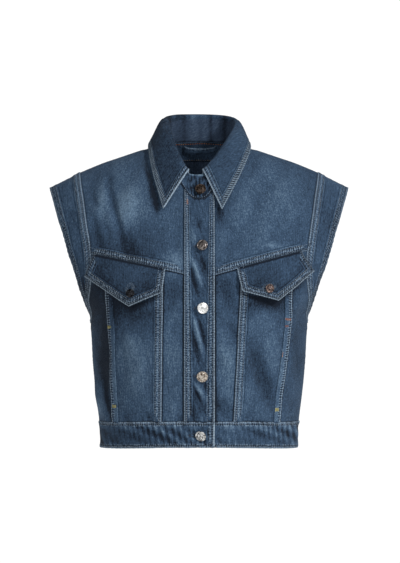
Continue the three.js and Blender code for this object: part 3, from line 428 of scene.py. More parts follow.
# Collar
STAND = {"start": -16.5, "end": 371.5, "thick": 2.0, "round_from": -6.0, "lip": 3.0}
LEAF = {"start": 13.0, "end": 355.0, "thick": 2.0}
ROLL = table(
    "angle x y z radius",
    (-16.5, 20, -67, -46, 3),
    (-5, 6, -66, -43.5, 3),
    (13, -16.6, -62, -41, 2.6),
    (30, -31, -52, -23, 3.4),
    (50, -41, -36, -2, 4.8),
    (70, -46.5, -16, 19, 5.6),
    (90, -49, 6, 34, 5.6),
    (110, -48, 26, 43.5, 5.2),
    (135, -38, 43, 49.8, 4.4),
    (160, -20, 53, 52.8, 3.6),
    (180, 0, 56, 53.8, 3.2),
    (210, 29, 53, 52.8, 3),
    (235, 49, 41, 49.2, 3),
    (260, 57.5, 20, 42, 2.8),
    (280, 56, -1, 30.5, 2.8),
    (300, 49, -23, 14, 3.1),
    (320, 37, -41, -5, 3.2),
    (340, 21, -55, -26, 3.2),
    (355, 6.5, -62, -40, 3.2),
    (371.5, -14, -62.5, -43, 3),
)
LEAF_EDGE = table(
    "angle x y z belly",
    (13, -55.7, -96, -98.5, 3),
    (30, -63.5, -81, -72, 6),
    (50, -72.5, -61, -41, 8),
    (70, -78.5, -36, -11, 6),
    (90, -80.5, -6, 5, 2.5),
    (110, -77, 22, 9.5, 3),
    (135, -62, 52, 9, 4),
    (160, -32, 75, 7, 4),
    (180, 0, 82, 6, 4),
    (200, 32, 75, 7, 4),
    (225, 62, 52, 9, 4),
    (250, 78.5, 22, 9.5, 3),
    (270, 82, -6, 5, 2.5),
    (290, 79.5, -36, -9, 5),
    (310, 68, -60, -37, 7),
    (333, 52, -81, -69, 6),
    (355, 36, -97, -99, 3),
)

# Upright wrinkles inside the back of the collar, painted only as light and shade: where along x,
# how wide, and how pale (a painted highlight) or dark (painted shade)
NECK_WRINKLES = (
    (-50, 3.5, -0.9),
    (-42, 5, 0.4),
    (-24, 3, -0.4),
    (-8, 9, 0.45),
    (10, 5, 0.3),
    (19, 2.5, -0.7),
    (27, 5, 0.4),
    (42, 3.5, -0.8),
)

FACING = {"half": 68.0, "drop": 30.0, "out": -1.6, "in": -2.7}
LOOP = {"right": -24.0, "left": 27.0, "wide": 6.0, "drop": 3.5, "hang": 3.0, "off": 5.0, "thick": 1.8}

BUTTON = {"radius": 8.7, "tall": 5.0}
FLAP_BUTTON = {"radius": 6.8, "tall": 3.8}

# Camera, as far off as a catalogue picture is taken, with one millimetre of garment 0.625 pixels wide
PIXEL_MM = 1.6
FRAME_HIGH = 563
CAMERA_AWAY = 4000.0
CAMERA_X = 1.6
CAMERA_Z = -212.8
FLOOR_Z = -1350.0  # a wearer's shoulders are this high above the floor


def lerp(a, b, share):
    return a + (b - a) * share


def ease(x, low, high):
    """Smoothly from 0 at low to 1 at high."""
    u = np.clip((np.asarray(x, float) - low) / (high - low), 0, 1)
    return u * u * (3 - 2 * u)


def smooth(points, by, column):
    """A smooth curve through one column of a table, read by another column."""
    xs, ys = points[by], points[column]
    gaps = np.diff(xs)
    slopes = np.diff(ys) / gaps
    inner = (slopes[:-1] * gaps[1:] + slopes[1:] * gaps[:-1]) / (gaps[1:] + gaps[:-1])
    tangents = np.concatenate([slopes[:1], inner, slopes[-1:]])

    def at(x):
        x = np.asarray(x, float)
        k = np.clip(np.searchsorted(xs, x, side="right") - 1, 0, len(gaps) - 1)
        whole = (x - xs[k]) / gaps[k]
        u = np.clip(whole, 0, 1)
        u2, u3 = u * u, u * u * u
        y = (2 * u3 - 3 * u2 + 1) * ys[k] + (3 * u2 - 2 * u3) * ys[k + 1]
        y = y + gaps[k] * ((u3 - 2 * u2 + u) * tangents[k] + (u3 - u2) * tangents[k + 1])
        return y + (whole - u) * gaps[k] * slopes[k]

    return at


def straight(points, by, column):
    """The same in straight stretches."""
    return lambda x: np.interp(x, points[by], points[column])


half_width = smooth(SECTIONS, "z", "half")
roundness = smooth(SECTIONS, "z", "round")
depth = {face: smooth(SECTIONS, "z", face) for face in ("front", "back")}
shoulder_curve = smooth(SHOULDER, "x", "z")
neckline_curve = {face: smooth(NECKLINE[face], "x", "z") for face in NECKLINE}
armhole_curve = {face: smooth(ARMHOLE_SEAM[face], "z", "x") for face in ARMHOLE_SEAM}


def shoulder_z(x):
    return shoulder_curve(np.abs(x))


def x_at(t, z):
    """From t to x, at a height."""
    return half_width(z) * np.sin(np.asarray(t) * np.pi / 2)


def t_at(x, z):
    """From x to t, at a height."""
    return np.arcsin(np.clip(x / half_width(z), -1, 1)) * 2 / np.pi


def form(face, t, z):
    """Points of the hollow form."""
    t, z = np.broadcast_arrays(np.asarray(t, float), np.asarray(z, float))
    side = np.abs(np.sin(t * np.pi / 2))
    x = x_at(t, z)
    flat = np.maximum(0, 1 - side ** SQUARE[face]) ** (1 / roundness(z))
    under = np.clip((shoulder_z(x) - z) / SHOULDER_ROUND, 0, 1)
    y = depth[face](z) * flat * np.sqrt(1 - (1 - under) ** SHOULDER_POWER) + FACE_GAP
    return np.stack([x, -y if face == "front" else y, z], axis=-1)


def unit(v):
    return v / np.maximum(np.linalg.norm(v, axis=-1, keepdims=True), 1e-9)


def form_normal(face, t, z):
    """Outward directions of the form, from points a little to each side."""
    dt, dz = 0.002, 0.2
    t1 = np.minimum(t + dt, 1)
    t0 = np.maximum(t1 - 2 * dt, -1)
    z1 = np.minimum(z + dz, shoulder_z(x_at(t, z)))
    along = form(face, t1, z) - form(face, t0, z)
    up = form(face, t, z1) - form(face, t, z1 - 2 * dz)
    normal = unit(np.cross(along, up))
    outward = form(face, t, z) * (1, 1, 0) + (0, 0, UPWARDS)
    return normal * np.where((normal * outward).sum(-1, keepdims=True) < 0, -1, 1)


def along_lines(lines, x, z, sharp):
    """The sum of soft troughs and ridges that lie along straight lines."""
    total = np.zeros(np.broadcast(x, z).shape)
    for x1, z1, x2, z2, wide, high in zip(*lines.values()):
        dx, dz = x2 - x1, z2 - z1
        long = math.hypot(dx, dz)
        s = ((x - x1) * dx + (z - z1) * dz) / long**2
        stray = CREASE_WANDER["far"] * wide * np.sin(CREASE_WANDER["turns"] * s + x1)
        off = ((x - x1) * dz - (z - z1) * dx) / long + stray
        fading = np.sin(np.pi * np.clip(s, 0, 1)) ** 2
        total += high * fading * np.exp(-((np.abs(off) / wide) ** sharp))
    return total


def along_bends(creases, x, z):
    """The sum of soft creases along bent lines, whose width and height change on the way."""
    total = np.zeros(np.broadcast(x, z).shape)
    for crease in creases:
        nearest, high = np.full(total.shape, np.inf), np.zeros(total.shape)
        for (x1, z1, wide1, high1), (x2, z2, wide2, high2) in zip(crease, crease[1:]):
            dx, dz = x2 - x1, z2 - z1
            s = np.clip(((x - x1) * dx + (z - z1) * dz) / (dx * dx + dz * dz), 0, 1)
            off = np.hypot(x - x1 - s * dx, z - z1 - s * dz) / lerp(wide1, wide2, s)
            high = np.where(off < nearest, lerp(high1, high2, s), high)
            nearest = np.minimum(off, nearest)
        total += high * np.exp(-(nearest ** SHARP["bend"]))
    return total


def fold_height(face, x, z):
    """The height of all the folds, creases and waves at places of one face."""
    total = along_lines(FOLDS[face], x, z, SHARP["fold"])
    total = total + along_lines(CREASES[face], x, z, SHARP["crease"])
    total = total + along_bends(BENT_CREASES if face == "front" else BACK_CREASES, x, z)
    for long_x, long_z, turn, high in zip(*WAVES.values()):
        total = total + high * np.sin(2 * np.pi * (x / long_x + z / long_z) / 2 + turn)
    return total


def fade_and_shade_amount(face, x, z):
    """How far the cloth is washed out or painted darker or paler: its fading spots with their painted
    shadows and highlight, and on the front its painted strokes.
    """
    total = np.zeros(np.broadcast(x, z).shape)
    for cx, cz, wide, tall, amount in zip(*FADES_AND_SHADES[face].values()):
        total += amount * np.exp(-(((x - cx) / wide) ** 2) - ((z - cz) / tall) ** 2)
    return total + (along_bends(STROKES, x, z) if face == "front" else 0)


def cloth(face, t, z, out):
    """Points of the cloth, moved out from the form along its normal."""
    x = x_at(t, z)
    calm = ease(1 - np.abs(t), 0, CALM["side"]) * ease(shoulder_z(x) - z, 0, CALM["shoulder"])
    high = fold_height(face, x, z) * calm + out
    return form(face, t, z) + form_normal(face, t, z) * high[..., None]


def waist_z(face, t):
    """The height of the waistband's upper seam."""
    rise = WAIST_RISE if face == "front" else 0
    return WAIST_Z + rise * (1 - np.sin(np.asarray(t) * np.pi / 2) ** 2)


def hem_z(face, t):
    """The height of the waistband's lower edge."""
    rise = HEM_RISE if face == "front" else 0
    return HEM_Z + rise * (1 - np.sin(np.asarray(t) * np.pi / 2) ** 2)


def yoke_z(side, x):
    """The height of a front yoke's seam."""
    (x0, x1), (z0, z1) = side["yoke"]["x"], side["yoke"]["z"]
    return z0 + (z1 - z0) * (x - x0) / (x1 - x0)


def vertical_x(side, z):
    """How far out the upright seam beside the placket lies."""
    (z0, z1), (x0, x1) = side["vertical"]["z"], side["vertical"]["x"]
    return x0 + (x1 - x0) * (z - z0) / (z1 - z0)


def pocket_x(side, z):
    """How far out the mouth of a side pocket lies."""
    return smooth(side["pocket"], "z", "x")(z)


def neck_z(face, x):
    """The height of the neckline."""
    return np.minimum(neckline_curve[face](np.abs(x)), shoulder_z(x))


def seam_t(face, z):
    """The cap's seam round the armhole, as t by height."""
    low_z, low_x = ARMHOLE_SEAM[face]["z"][0], ARMHOLE_SEAM[face]["x"][0]
    low = t_at(low_x, low_z)
    u = np.clip((z - SEAM_SIDE_Z) / (low_z - SEAM_SIDE_Z), 0, 1)
    return np.where(z >= low_z, t_at(armhole_curve[face](z), z), lerp(1, low, u**UNDERARM_POWER))


def edge_t(z):
    """The cap's free edge, as t by height."""
    x = lerp(UNDERARM_X, TIP_X, (z - UNDERARM_Z) / (TIP_Z - UNDERARM_Z))
    return np.where(z <= UNDERARM_Z, 1, t_at(x, z))


def beside_seam(face, z, distance):
    """Places beside the armhole's seam, by a distance on the cloth."""
    dz, dt = 0.5, 0.003
    t = seam_t(face, z)
    up = np.clip(shoulder_z(x_at(t, z)) - z, 0, dz)
    slope = (seam_t(face, z + up) - seam_t(face, z - dz)) / (up + dz)
    middle = np.minimum(t, 1 - dt - 0.001)
    wide = np.linalg.norm(form(face, middle + dt, z) - form(face, middle - dt, z), axis=-1) / (2 * dt)
    long = np.hypot(wide * slope, 1)
    return np.minimum(1, t + distance / (long * wide)), z - distance * wide * slope / long


def spaced(start, stop, pitch):
    """Numbers from start to stop, about a pitch apart."""
    return np.linspace(start, stop, max(2, round(abs(stop - start) / pitch) + 1))


def band_shares(length, pitch, start=0.0, end=0.0):
    """Shares of a length, with a seam's raised band and its step down at either end."""
    cuts = [0.0]
    if start:
        cuts += [start, start + SEAM_SLOPE]
    if end:
        cuts += [length - end - SEAM_SLOPE, length - end]
    cuts.append(length)
    parts = [spaced(a, b, pitch)[:-1] for a, b in zip(cuts, cuts[1:])]
    return np.append(np.concatenate(parts), length) / length


def from_shoulder(high, low, pitch):
    """Heights from a shoulder line down, close together where the shoulder rounds over."""
    rounded, steps = 12, 9
    first = rounded * np.linspace(0, 1, steps) ** 2
    return high - np.concatenate([first, spaced(rounded, high - low, pitch)[1:]])


SEAM_TOP_Z = float(shoulder_z(SEAM_TOP_X))

# What each kind of edge does to the cloth: the width of its stitched band, how strongly the cloth
# itself and its fine ropes are puckered, how pale the ridge between its rows is, how white its fold
# is worn, and how dark a painted shadow lies on the cloth where it goes under a seam
EDGE_VALUES = ("band", "pucker", "rope", "ridge", "wear", "tuck")
EDGES = {
    "folded": (10.0, 1.3, 1.3, 1.0, 0.8, 0.0),
    "felled": (10.5, 1.0, 1.0, 1.0, 0.6, 0.0),
    "lapped": (10.5, 1.3, 1.6, 0.2, 0.35, 0.0),
    "hemmed": (10.0, 0.8, 1.2, -1.2, 0.3, 0.0),
    "collar": (10.0, 1.2, 9.0, -1.6, 0.8, 0.0),
    "welted": (7.0, 1.0, 3.0, 0.0, 0.8, 0.0),
    "waist": (5.0, 1.5, 1.5, 0.5, 0.6, 0.0),
    "under": (0.0, 0.3, 0.3, 0.0, 0.0, 4.2),
    "shaded": (10.0, 0.7, 0.7, 1.0, 0.25, 0.6),
    "creased": (10.0, 1.0, 1.0, 0.6, 0.8, 0.0),
    "rubbed": (10.0, 1.0, 1.0, 1.0, 1.5, 0.0),
    "rolled": (4.0, 0.7, 0.7, 0.0, 0.45, 0.0),
    "seam": (0.0, 0.55, 0.55, 0.0, 0.0, 1.0),
    "plain": (0.0, 0.2, 0.2, 0.0, 0.0, 0.0),
}
RIPPLE = {"long": 10.5, "wide": 7.0, "high": 0.4, "slant": 0.45}
FAR_AWAY = 60.0  # what is noted as a distance from an edge where no edge is near
RIM_STEPS = 4
FOLD_WEAR_AND_SHADE = 0.13  # how much paler a ridge is, partly washed out and partly painted highlight, and how much darker a trough, as painted shade, by its height
FOLD_TONE_LIMITS = (-5, 2)  # the heights past which its tone changes no more
SMALLEST_CUT = 10.0  # the smallest size that a cut piece's worked-out size is held to
LEAST_AREA = 0.3  # and its smallest area, as a share of width by length
YOKE_BEND = 0.8  # the share of a yoke's width from which its columns bend to the armhole
MIDDLE_Z = -300  # where the lower front panels' widths are taken
TALL = {"centre": 250, "side": 200, "back": 320}  # how long panels are, for the rows of their grids
GIRTH = {"front": 240, "back": 460}  # and how long a waistband's length is, for its columns
BACK_FOOT_X = 112  # where the back panel's foot lies below the armholes' upper ends
WELT_COLUMNS = 8

pieces = {}


def edge_distances(points):
    """How far each place of a grid lies from its four edges, measured along the cloth."""
    across = np.linalg.norm(np.diff(points, axis=1), axis=2)
    up = np.linalg.norm(np.diff(points, axis=0), axis=2)
    start = np.pad(np.cumsum(across, axis=1), ((0, 0), (1, 0)))
    foot = np.pad(np.cumsum(up, axis=0), ((1, 0), (0, 0)))
    return {"start": start, "end": start[:, -1:] - start, "foot": foot, "head": foot[-1:] - foot}


def grid_normals(points, outward):
    """Directions square to a grid of points, on the side that outward names."""
    normal = unit(np.cross(np.gradient(points, axis=1), np.gradient(points, axis=0)))
    return normal * np.where((normal * outward).sum(-1, keepdims=True) < 0, -1, 1)


def ripple(along, away, seed):
    """The long puckers beside a seam, which slant across it and never quite repeat."""
    wander = 1.7 * np.sin(along / 23 + seed) + 1.1 * np.sin(along / 11.3 + 2 * seed)
    strength = 0.7 + 0.3 * np.sin(along / 17 + seed)
    return np.sin(along * 2 * np.pi / RIPPLE["long"] + RIPPLE["slant"] * away + wander) * strength


def pucker_cloth(outer, inner, kinds):
    """Ripples a grid beside its seams. Returns both faces and the marks its material reads: for
    each point how far its nearest edge is, how far along that it lies, and the edge's own values."""
    far = edge_distances(outer)
    normal = grid_normals(outer, outer - inner)
    marks = {"away": np.full(outer.shape[:2], FAR_AWAY), "along": far["start"] * 1.0}
    for key in EDGE_VALUES:
        marks[key] = np.zeros(outer.shape[:2])
    high = np.zeros(outer.shape[:2])
    for seed, (edge, kind) in enumerate(kinds.items()):
        values = dict(zip(EDGE_VALUES, EDGES[kind]))
        along = far["foot"] if edge in ("start", "end") else far["start"]
        nearest = far[edge] < marks["away"]
        marks["away"] = np.where(nearest, far[edge], marks["away"])
        marks["along"] = np.where(nearest, along, marks["along"])
        for key, value in values.items():
            marks[key] = np.where(nearest, value, marks[key])
        reach = np.exp(-np.maximum(far[edge] - values["band"] / 2, 0) / RIPPLE["wide"])
        high += RIPPLE["high"] * values["pucker"] * reach * ripple(along, far[edge], seed)
    lift = normal * high[..., None]
    return outer + lift, inner + lift, marks


def shell(name, outer, inner, uv, marks, materials):
    """A closed wall between two grids of points, with a round rim like a folded edge's."""
    rows, columns = outer.shape[:2]
    count = rows * columns
    index = np.arange(count).reshape(rows, columns)
    loop = np.concatenate([index[0, :-1], index[:-1, -1], index[-1, :0:-1], index[:0:-1, 0]])
    middle, half = (outer + inner) / 2, (outer - inner) / 2
    inside_row = np.clip(np.arange(rows), 1, rows - 2)
    inside_column = np.clip(np.arange(columns), 1, columns - 2)
    away = unit(middle - middle[inside_row][:, inside_column]).reshape(-1, 3)[loop]
    middle, half = middle.reshape(-1, 3)[loop], half.reshape(-1, 3)[loop]
    thick = np.linalg.norm(half, axis=1, keepdims=True)
    points = [outer.reshape(-1, 3), inner.reshape(-1, 3)]
    source = [np.arange(count), np.arange(count)]
    ring = [loop]
    for k in range(1, RIM_STEPS):
        turn = math.pi * k / RIM_STEPS
        ring.append(sum(len(p) for p in points) + np.arange(len(loop)))
        points.append(middle + half * math.cos(turn) + away * thick * math.sin(turn))
        source.append(loop)
    ring.append(loop + count)
    points, source = np.concatenate(points), np.concatenate(source)

    corners = [index[:-1, :-1], index[:-1, 1:], index[1:, 1:], index[1:, :-1]]
    quads = np.stack(corners, axis=-1).reshape(-1, 4)
    faces = [quads, quads[:, ::-1] + count]
    for one, two in zip(ring, ring[1:]):
        faces.append(np.stack([np.roll(one, -1), one, two, np.roll(two, -1)], axis=-1))
    inner_faces = np.zeros(sum(len(f) for f in faces), int)
    inner_faces[len(quads) : 2 * len(quads)] = 1
    faces = np.concatenate(faces)
    facing = np.cross(outer[0, 1] - outer[0, 0], outer[1, 0] - outer[0, 0])
    if (facing * (outer - inner)[0, 0]).sum() < 0:
        faces = faces[:, ::-1]
    marks = {key: value.reshape(-1)[source] for key, value in marks.items()}
    return plain_mesh(name, points, faces, uv.reshape(-1, 2)[source], marks, materials, inner_faces)


def in_scene(name, data):
    """A new object in the scene, for a mesh, a light or the camera."""
    made = bpy.data.objects.new(name, data)
    bpy.context.scene.collection.objects.link(made)
    return made


def plain_mesh(name, points, faces, uv, marks, materials, slots):
    """A smooth mesh of four-sided faces, from millimetres."""
    mesh = bpy.data.meshes.new(name)
    mesh.vertices.add(len(points))
    mesh.vertices.foreach_set("co", (points * MM).ravel())
    mesh.loops.add(faces.size)
    mesh.loops.foreach_set("vertex_index", faces.ravel())
    mesh.polygons.add(len(faces))
    mesh.polygons.foreach_set("loop_start", np.arange(0, faces.size, faces.shape[1]))
    mesh.polygons.foreach_set("material_index", slots)
    mesh.polygons.foreach_set("use_smooth", np.ones(len(faces), bool))
    mesh.uv_layers.new(name="cloth").data.foreach_set("uv", (uv[faces.ravel()] * MM).ravel())
    for key, value in marks.items():
        mesh.attributes.new(key, "FLOAT", "POINT").data.foreach_set("value", value)
    mesh.update(calc_edges=True)
    mesh.validate()
    for material in materials:
        mesh.materials.append(material)
    return in_scene(name, mesh)


def sew(node, outer, inner, kinds, fade_and_shade, hangs_from=(), grain=0):
    """One piece of cloth in place of its solid. Its warp runs beside the column that lies at the
    share grain of its width. The size it was cut to, its width half way up and its greatest length, is
    worked out but not used."""
    outer, inner, marks = pucker_cloth(outer, inner, kinds)
    far = edge_distances(outer)
    # This mark holds the cloth's washed-out fading together with painted light and shade.
    marks["fade_and_shade"] = np.broadcast_to(fade_and_shade, outer.shape[:2])
    column = round(grain * (outer.shape[1] - 1))
    uv = np.stack([far["start"] - far["start"][:, column : column + 1], far["foot"]], axis=-1)
    piece = shell("cloth_" + node, outer, inner, uv, marks, [denim, denim_inside])
    wide, long = np.median(far["start"][:, -1]), far["foot"][-1].max()
    corners = np.cross(outer[:-1, 1:] - outer[:-1, :-1], outer[1:, :-1] - outer[:-1, :-1])
    area = min(np.linalg.norm(corners, axis=-1).sum(), wide * long)
    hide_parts(node)
    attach(piece, "root")
    flat = (max(wide, SMALLEST_CUT) * MM, max(long, SMALLEST_CUT) * MM)
    area = max(area * MM**2, LEAST_AREA * flat[0] * flat[1])
    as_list(hangs_from)
    pieces[node] = {"points": outer, "normals": grid_normals(outer, outer - inner), "far": far}


def sew_on_form(node, face, t, z, out, into, kinds, hangs_from=(), fade_and_shade=0.0, grain=0):
    """A piece that lies on the hollow form, from into to out beside it."""
    outer, inner = cloth(face, t, z, out), cloth(face, t, z, into)
    x = outer[..., 0]
    # the tone adds the fading spots with their painted shadows and highlight, and painted shade in troughs
    # with paler ridges, by fold height
    fade_and_shade = fade_and_shade + fade_and_shade_amount(face, x, z) + FOLD_WEAR_AND_SHADE * np.clip(fold_height(face, x, z), *FOLD_TONE_LIMITS)
    sew(node, outer, inner, kinds, fade_and_shade, hangs_from, grain)


def band(distance, wide=SEAM_BAND):
    """The height of a felled seam's raised band, by distance from its edge."""
    return SEAM_RAISE * (1 - ease(distance, wide, wide + SEAM_SLOPE))


def yoke_places(low_x, low_z, high_x, high_z, up):
    """Places of a yoke: each column runs from its lower seam to the neckline or shoulder line."""
    low_deep, high_deep = shoulder_z(low_x) - low_z, shoulder_z(high_x) - high_z
    x = lerp(low_x, high_x, up[:, None])
    z = shoulder_z(x) - lerp(low_deep, high_deep, up[:, None])
    return t_at(x, z), z


def bend_to_armhole(face, t, z, heights, edge, nearness):
    """Bends the columns near an edge so that the edge itself runs along the armhole's seam."""
    sign = math.copysign(1, t[0, edge])
    seam, seam_z = beside_seam(face, heights, -CURVED_GAP / 2)
    t = t + (sign * seam - t[:, edge])[:, None] * nearness
    z = z + (seam_z - z[:, edge])[:, None] * nearness
    return t, z


def front_yoke(side):
    """One front yoke, whose lower edge laps over the panels below."""
    face = "front"
    outer_x, outer_z = side["yoke"]["x"][1], side["yoke"]["z"][1] + GAP / 2
    heights = from_shoulder(SEAM_TOP_Z, outer_z, FRONT_PITCH)[::-1]
    up = (heights - outer_z) / (SEAM_TOP_Z - outer_z)
    neck = spaced(PANEL_EDGE[side["name"]], NECK_HALF, FRONT_PITCH)[:-1]
    shoulder = spaced(NECK_HALF + GAP, SEAM_TOP_X - CURVED_GAP / 2, FRONT_PITCH)
    high_x = np.concatenate([neck, shoulder])
    high_z = np.concatenate([neck_z(face, neck) - GAP, shoulder_z(shoulder)])
    low_x = np.linspace(PANEL_EDGE[side["name"]], outer_x - CURVED_GAP / 2, len(high_x))
    t, z = yoke_places(low_x, yoke_z(side, low_x) + GAP / 2, high_x, high_z, up)
    nearness = ease(np.linspace(0, 1, len(high_x)), YOKE_BEND, 1)
    t, z = bend_to_armhole(face, t, z, heights, -1, nearness)
    far = edge_distances(form(face, t, z))
    kinds = {"foot": "lapped", "end": "seam", "start": "seam", "head": "plain"}
    sew_on_form("front_yoke_" + side["name"], face, side["sign"] * t, z, band(far["foot"]), -CLOTH, kinds)


def lower_places(side, inner_x, outer_x, shares, up):
    """Places on a lower front panel between two upright lines."""

    def x_to(z):
        return lerp(inner_x(z), outer_x(z), shares[None, :])

    top = np.full((1, len(shares)), side["yoke"]["z"][0])
    for _ in range(4):
        top = yoke_z(side, x_to(top)) - GAP / 2
    foot = waist_z("front", t_at(x_to(np.full_like(top, WAIST_Z)), WAIST_Z)) + GAP / 2
    z = lerp(foot, top, up[:, None])
    return side["sign"] * t_at(x_to(z), z), z


def lower_front(side):
    """The centre panel, the side panel with the seam's raised edge, and the welt along the pocket."""
    name, inner = side["name"], PANEL_EDGE[side["name"]]

    def placket_side(z):
        return np.full_like(z, inner)

    def before_seam(z):
        return vertical_x(side, z) - GAP / 2

    def past_seam(z):
        return vertical_x(side, z) + GAP / 2

    def pocket(z):
        return pocket_x(side, z) - GAP / 2

    up = np.linspace(0, 1, round(TALL["centre"] / FRONT_PITCH))
    wide = float(vertical_x(side, MIDDLE_Z)) - inner
    shares = band_shares(wide, FRONT_PITCH)
    t, z = lower_places(side, placket_side, before_seam, shares, up)
    kinds = {"start": "under", "end": "under", "foot": "seam", "head": "under"}
    hangs = ["front_yoke_" + name]
    sew_on_form("front_centre_" + name, "front", t, z, np.zeros_like(z), -CLOTH, kinds, hangs)

    wide = float(pocket_x(side, MIDDLE_Z) - vertical_x(side, MIDDLE_Z))
    shares = band_shares(wide, FRONT_PITCH, start=SEAM_BAND)
    t, z = lower_places(side, past_seam, pocket, shares, up)
    kinds = {"start": "felled", "foot": "seam", "head": "under", "end": "plain"}
    raised = band(shares * wide) + np.zeros_like(z)
    sew_on_form("front_side_" + name, "front", t, z, raised, -CLOTH, kinds, hangs)

    tall = WELT["top"] - WAIST_Z
    up = np.linspace(0, tall / (side["yoke"]["z"].mean() - WAIST_Z), round(tall / FRONT_PITCH))
    shares = np.linspace(1 - WELT["width"] / wide, 1, WELT_COLUMNS)
    t, z = lower_places(side, past_seam, pocket, shares, up)
    out = lerp(WELT["out"], WELT["edge"], np.linspace(0, 1, WELT_COLUMNS)) + np.zeros_like(z)
    kinds = {"start": "plain", "end": "welted", "foot": "seam"}
    hangs = ["front_side_" + name]
    sew_on_form("pocket_welt_" + name, "front", t, z, out, WELT["in"], kinds, hangs, fade_and_shade=0.5)


def side_panel(side):
    """The panel from a side pocket's mouth round to the side seam."""
    face = "front"
    yoke_end = side["yoke"]["z"][1]
    x = spaced(float(pocket_x(side, yoke_end)) + GAP / 2, side["yoke"]["x"][1], FRONT_PITCH)[:-1]
    yoke = yoke_z(side, x) - GAP
    seam_z = spaced(yoke_end - GAP, SEAM_SIDE_Z, FRONT_PITCH)
    seam, seam_z = beside_seam(face, seam_z, -CURVED_GAP / 2)
    seam[-1], seam_z[-1] = 1, SEAM_SIDE_Z - CURVED_GAP / 2
    top_t, top_z = np.concatenate([t_at(x, yoke), seam]), np.concatenate([yoke, seam_z])
    steps = np.linalg.norm(np.diff(form(face, top_t, top_z), axis=0), axis=1)
    foot_share = np.append(0, np.cumsum(steps)) / steps.sum()

    def pocket_t(z):
        return t_at(pocket_x(side, z) + GAP / 2, z)

    top_share = (top_t - pocket_t(top_z)) / (1 - pocket_t(top_z))
    foot_z = waist_z(face, lerp(pocket_t(WAIST_Z), 1, foot_share)) + GAP / 2
    up = np.linspace(0, 1, round(TALL["side"] / FRONT_PITCH))[:, None]
    z = lerp(foot_z, top_z, up)
    t = lerp(pocket_t(z), 1, lerp(foot_share, top_share, up))
    kinds = {"foot": "seam", "head": "seam", "start": "under", "end": "seam"}
    hangs = ["front_yoke_" + side["name"]]
    name = "side_panel_" + side["name"]
    sew_on_form(name, face, side["sign"] * t, z, np.zeros_like(z), -CLOTH, kinds, hangs)


def cap(side, face):
    """Half of a shoulder cap: a ring round the armhole, hemmed along its free edge."""
    pitch = FRONT_PITCH if face == "front" else BACK_PITCH
    heights = from_shoulder(SEAM_TOP_Z, SEAM_SIDE_Z, pitch)
    seam, seam_z = beside_seam(face, heights, CURVED_GAP / 2)
    seam[-1], seam_z[-1] = 1, SEAM_SIDE_Z + CURVED_GAP / 2
    down = (SEAM_TOP_Z - heights) / (SEAM_TOP_Z - SEAM_SIDE_Z)
    free_z = lerp(TIP_Z, UNDERARM_Z, down)
    free = edge_t(free_z)
    wide = TIP_X - SEAM_TOP_X
    shares = band_shares(wide, pitch, start=SEAM_BAND, end=CAP_HEM)
    seam_x, free_x = x_at(seam, seam_z)[:, None], x_at(free, free_z)[:, None]
    x = lerp(seam_x, free_x, shares)
    deep = lerp(shoulder_z(seam_x) - seam_z[:, None], shoulder_z(free_x) - free_z[:, None], shares)
    deep = deep * ease(down, 0, 0.02)[:, None]
    high_z = shoulder_z(x) - deep
    high_t = t_at(x, high_z)
    near_shoulder = 1 - ease(down, 0.05, 0.4)[:, None]
    t = lerp(lerp(seam[:, None], free[:, None], shares), high_t, near_shoulder)
    z = lerp(lerp(seam_z[:, None], free_z[:, None], shares), high_z, near_shoulder)
    out = band(shares * wide) + np.zeros_like(z)
    hem = ease(shares * wide, wide - CAP_HEM - SEAM_SLOPE, wide - CAP_HEM)
    into = -lerp(CLOTH, DOUBLE, hem) + np.zeros_like(z)
    kinds = {"start": "felled", "end": "hemmed", "foot": "seam", "head": "seam"}
    name = f"cap_{face}_{side['name']}"
    hangs = [f"front_yoke_{side['name']}" if face == "front" else "back_yoke"]
    sew_on_form(name, face, side["sign"] * t, z, out, into, kinds, hangs, fade_and_shade=0.1)


def back_yoke():
    """The back yoke, from one armhole to the other below the neckline."""
    face = "back"
    foot = BACK_YOKE_Z + GAP / 2
    heights = from_shoulder(SEAM_TOP_Z, foot, BACK_PITCH)[::-1]
    up = (heights - foot) / (SEAM_TOP_Z - foot)
    shoulder = spaced(SEAM_TOP_X - CURVED_GAP / 2, NECK_HALF + GAP, BACK_PITCH)
    neck = NECK_HALF * np.sin(np.linspace(-math.pi / 2, math.pi / 2, 46))
    high_x = np.concatenate([-shoulder, neck, shoulder[::-1]])
    high_z = np.where(np.abs(high_x) > NECK_HALF, shoulder_z(high_x), neck_z(face, high_x) - GAP)
    low_outer = float(x_at(seam_t(face, foot), foot)) - CURVED_GAP / 2
    low_x = np.linspace(-low_outer, low_outer, len(high_x))
    t, z = yoke_places(low_x, np.full_like(low_x, foot), high_x, high_z, up)
    across = np.linspace(-1, 1, len(high_x))
    t, z = bend_to_armhole(face, t, z, heights, -1, ease(across, YOKE_BEND, 1))
    t, z = bend_to_armhole(face, t, z, heights, 0, ease(-across, YOKE_BEND, 1))
    far = edge_distances(form(face, t, z))
    kinds = {"foot": "lapped", "start": "seam", "end": "seam", "head": "plain"}
    sew_on_form("back_yoke", face, t, z, band(far["foot"]), -CLOTH, kinds, grain=0.5)


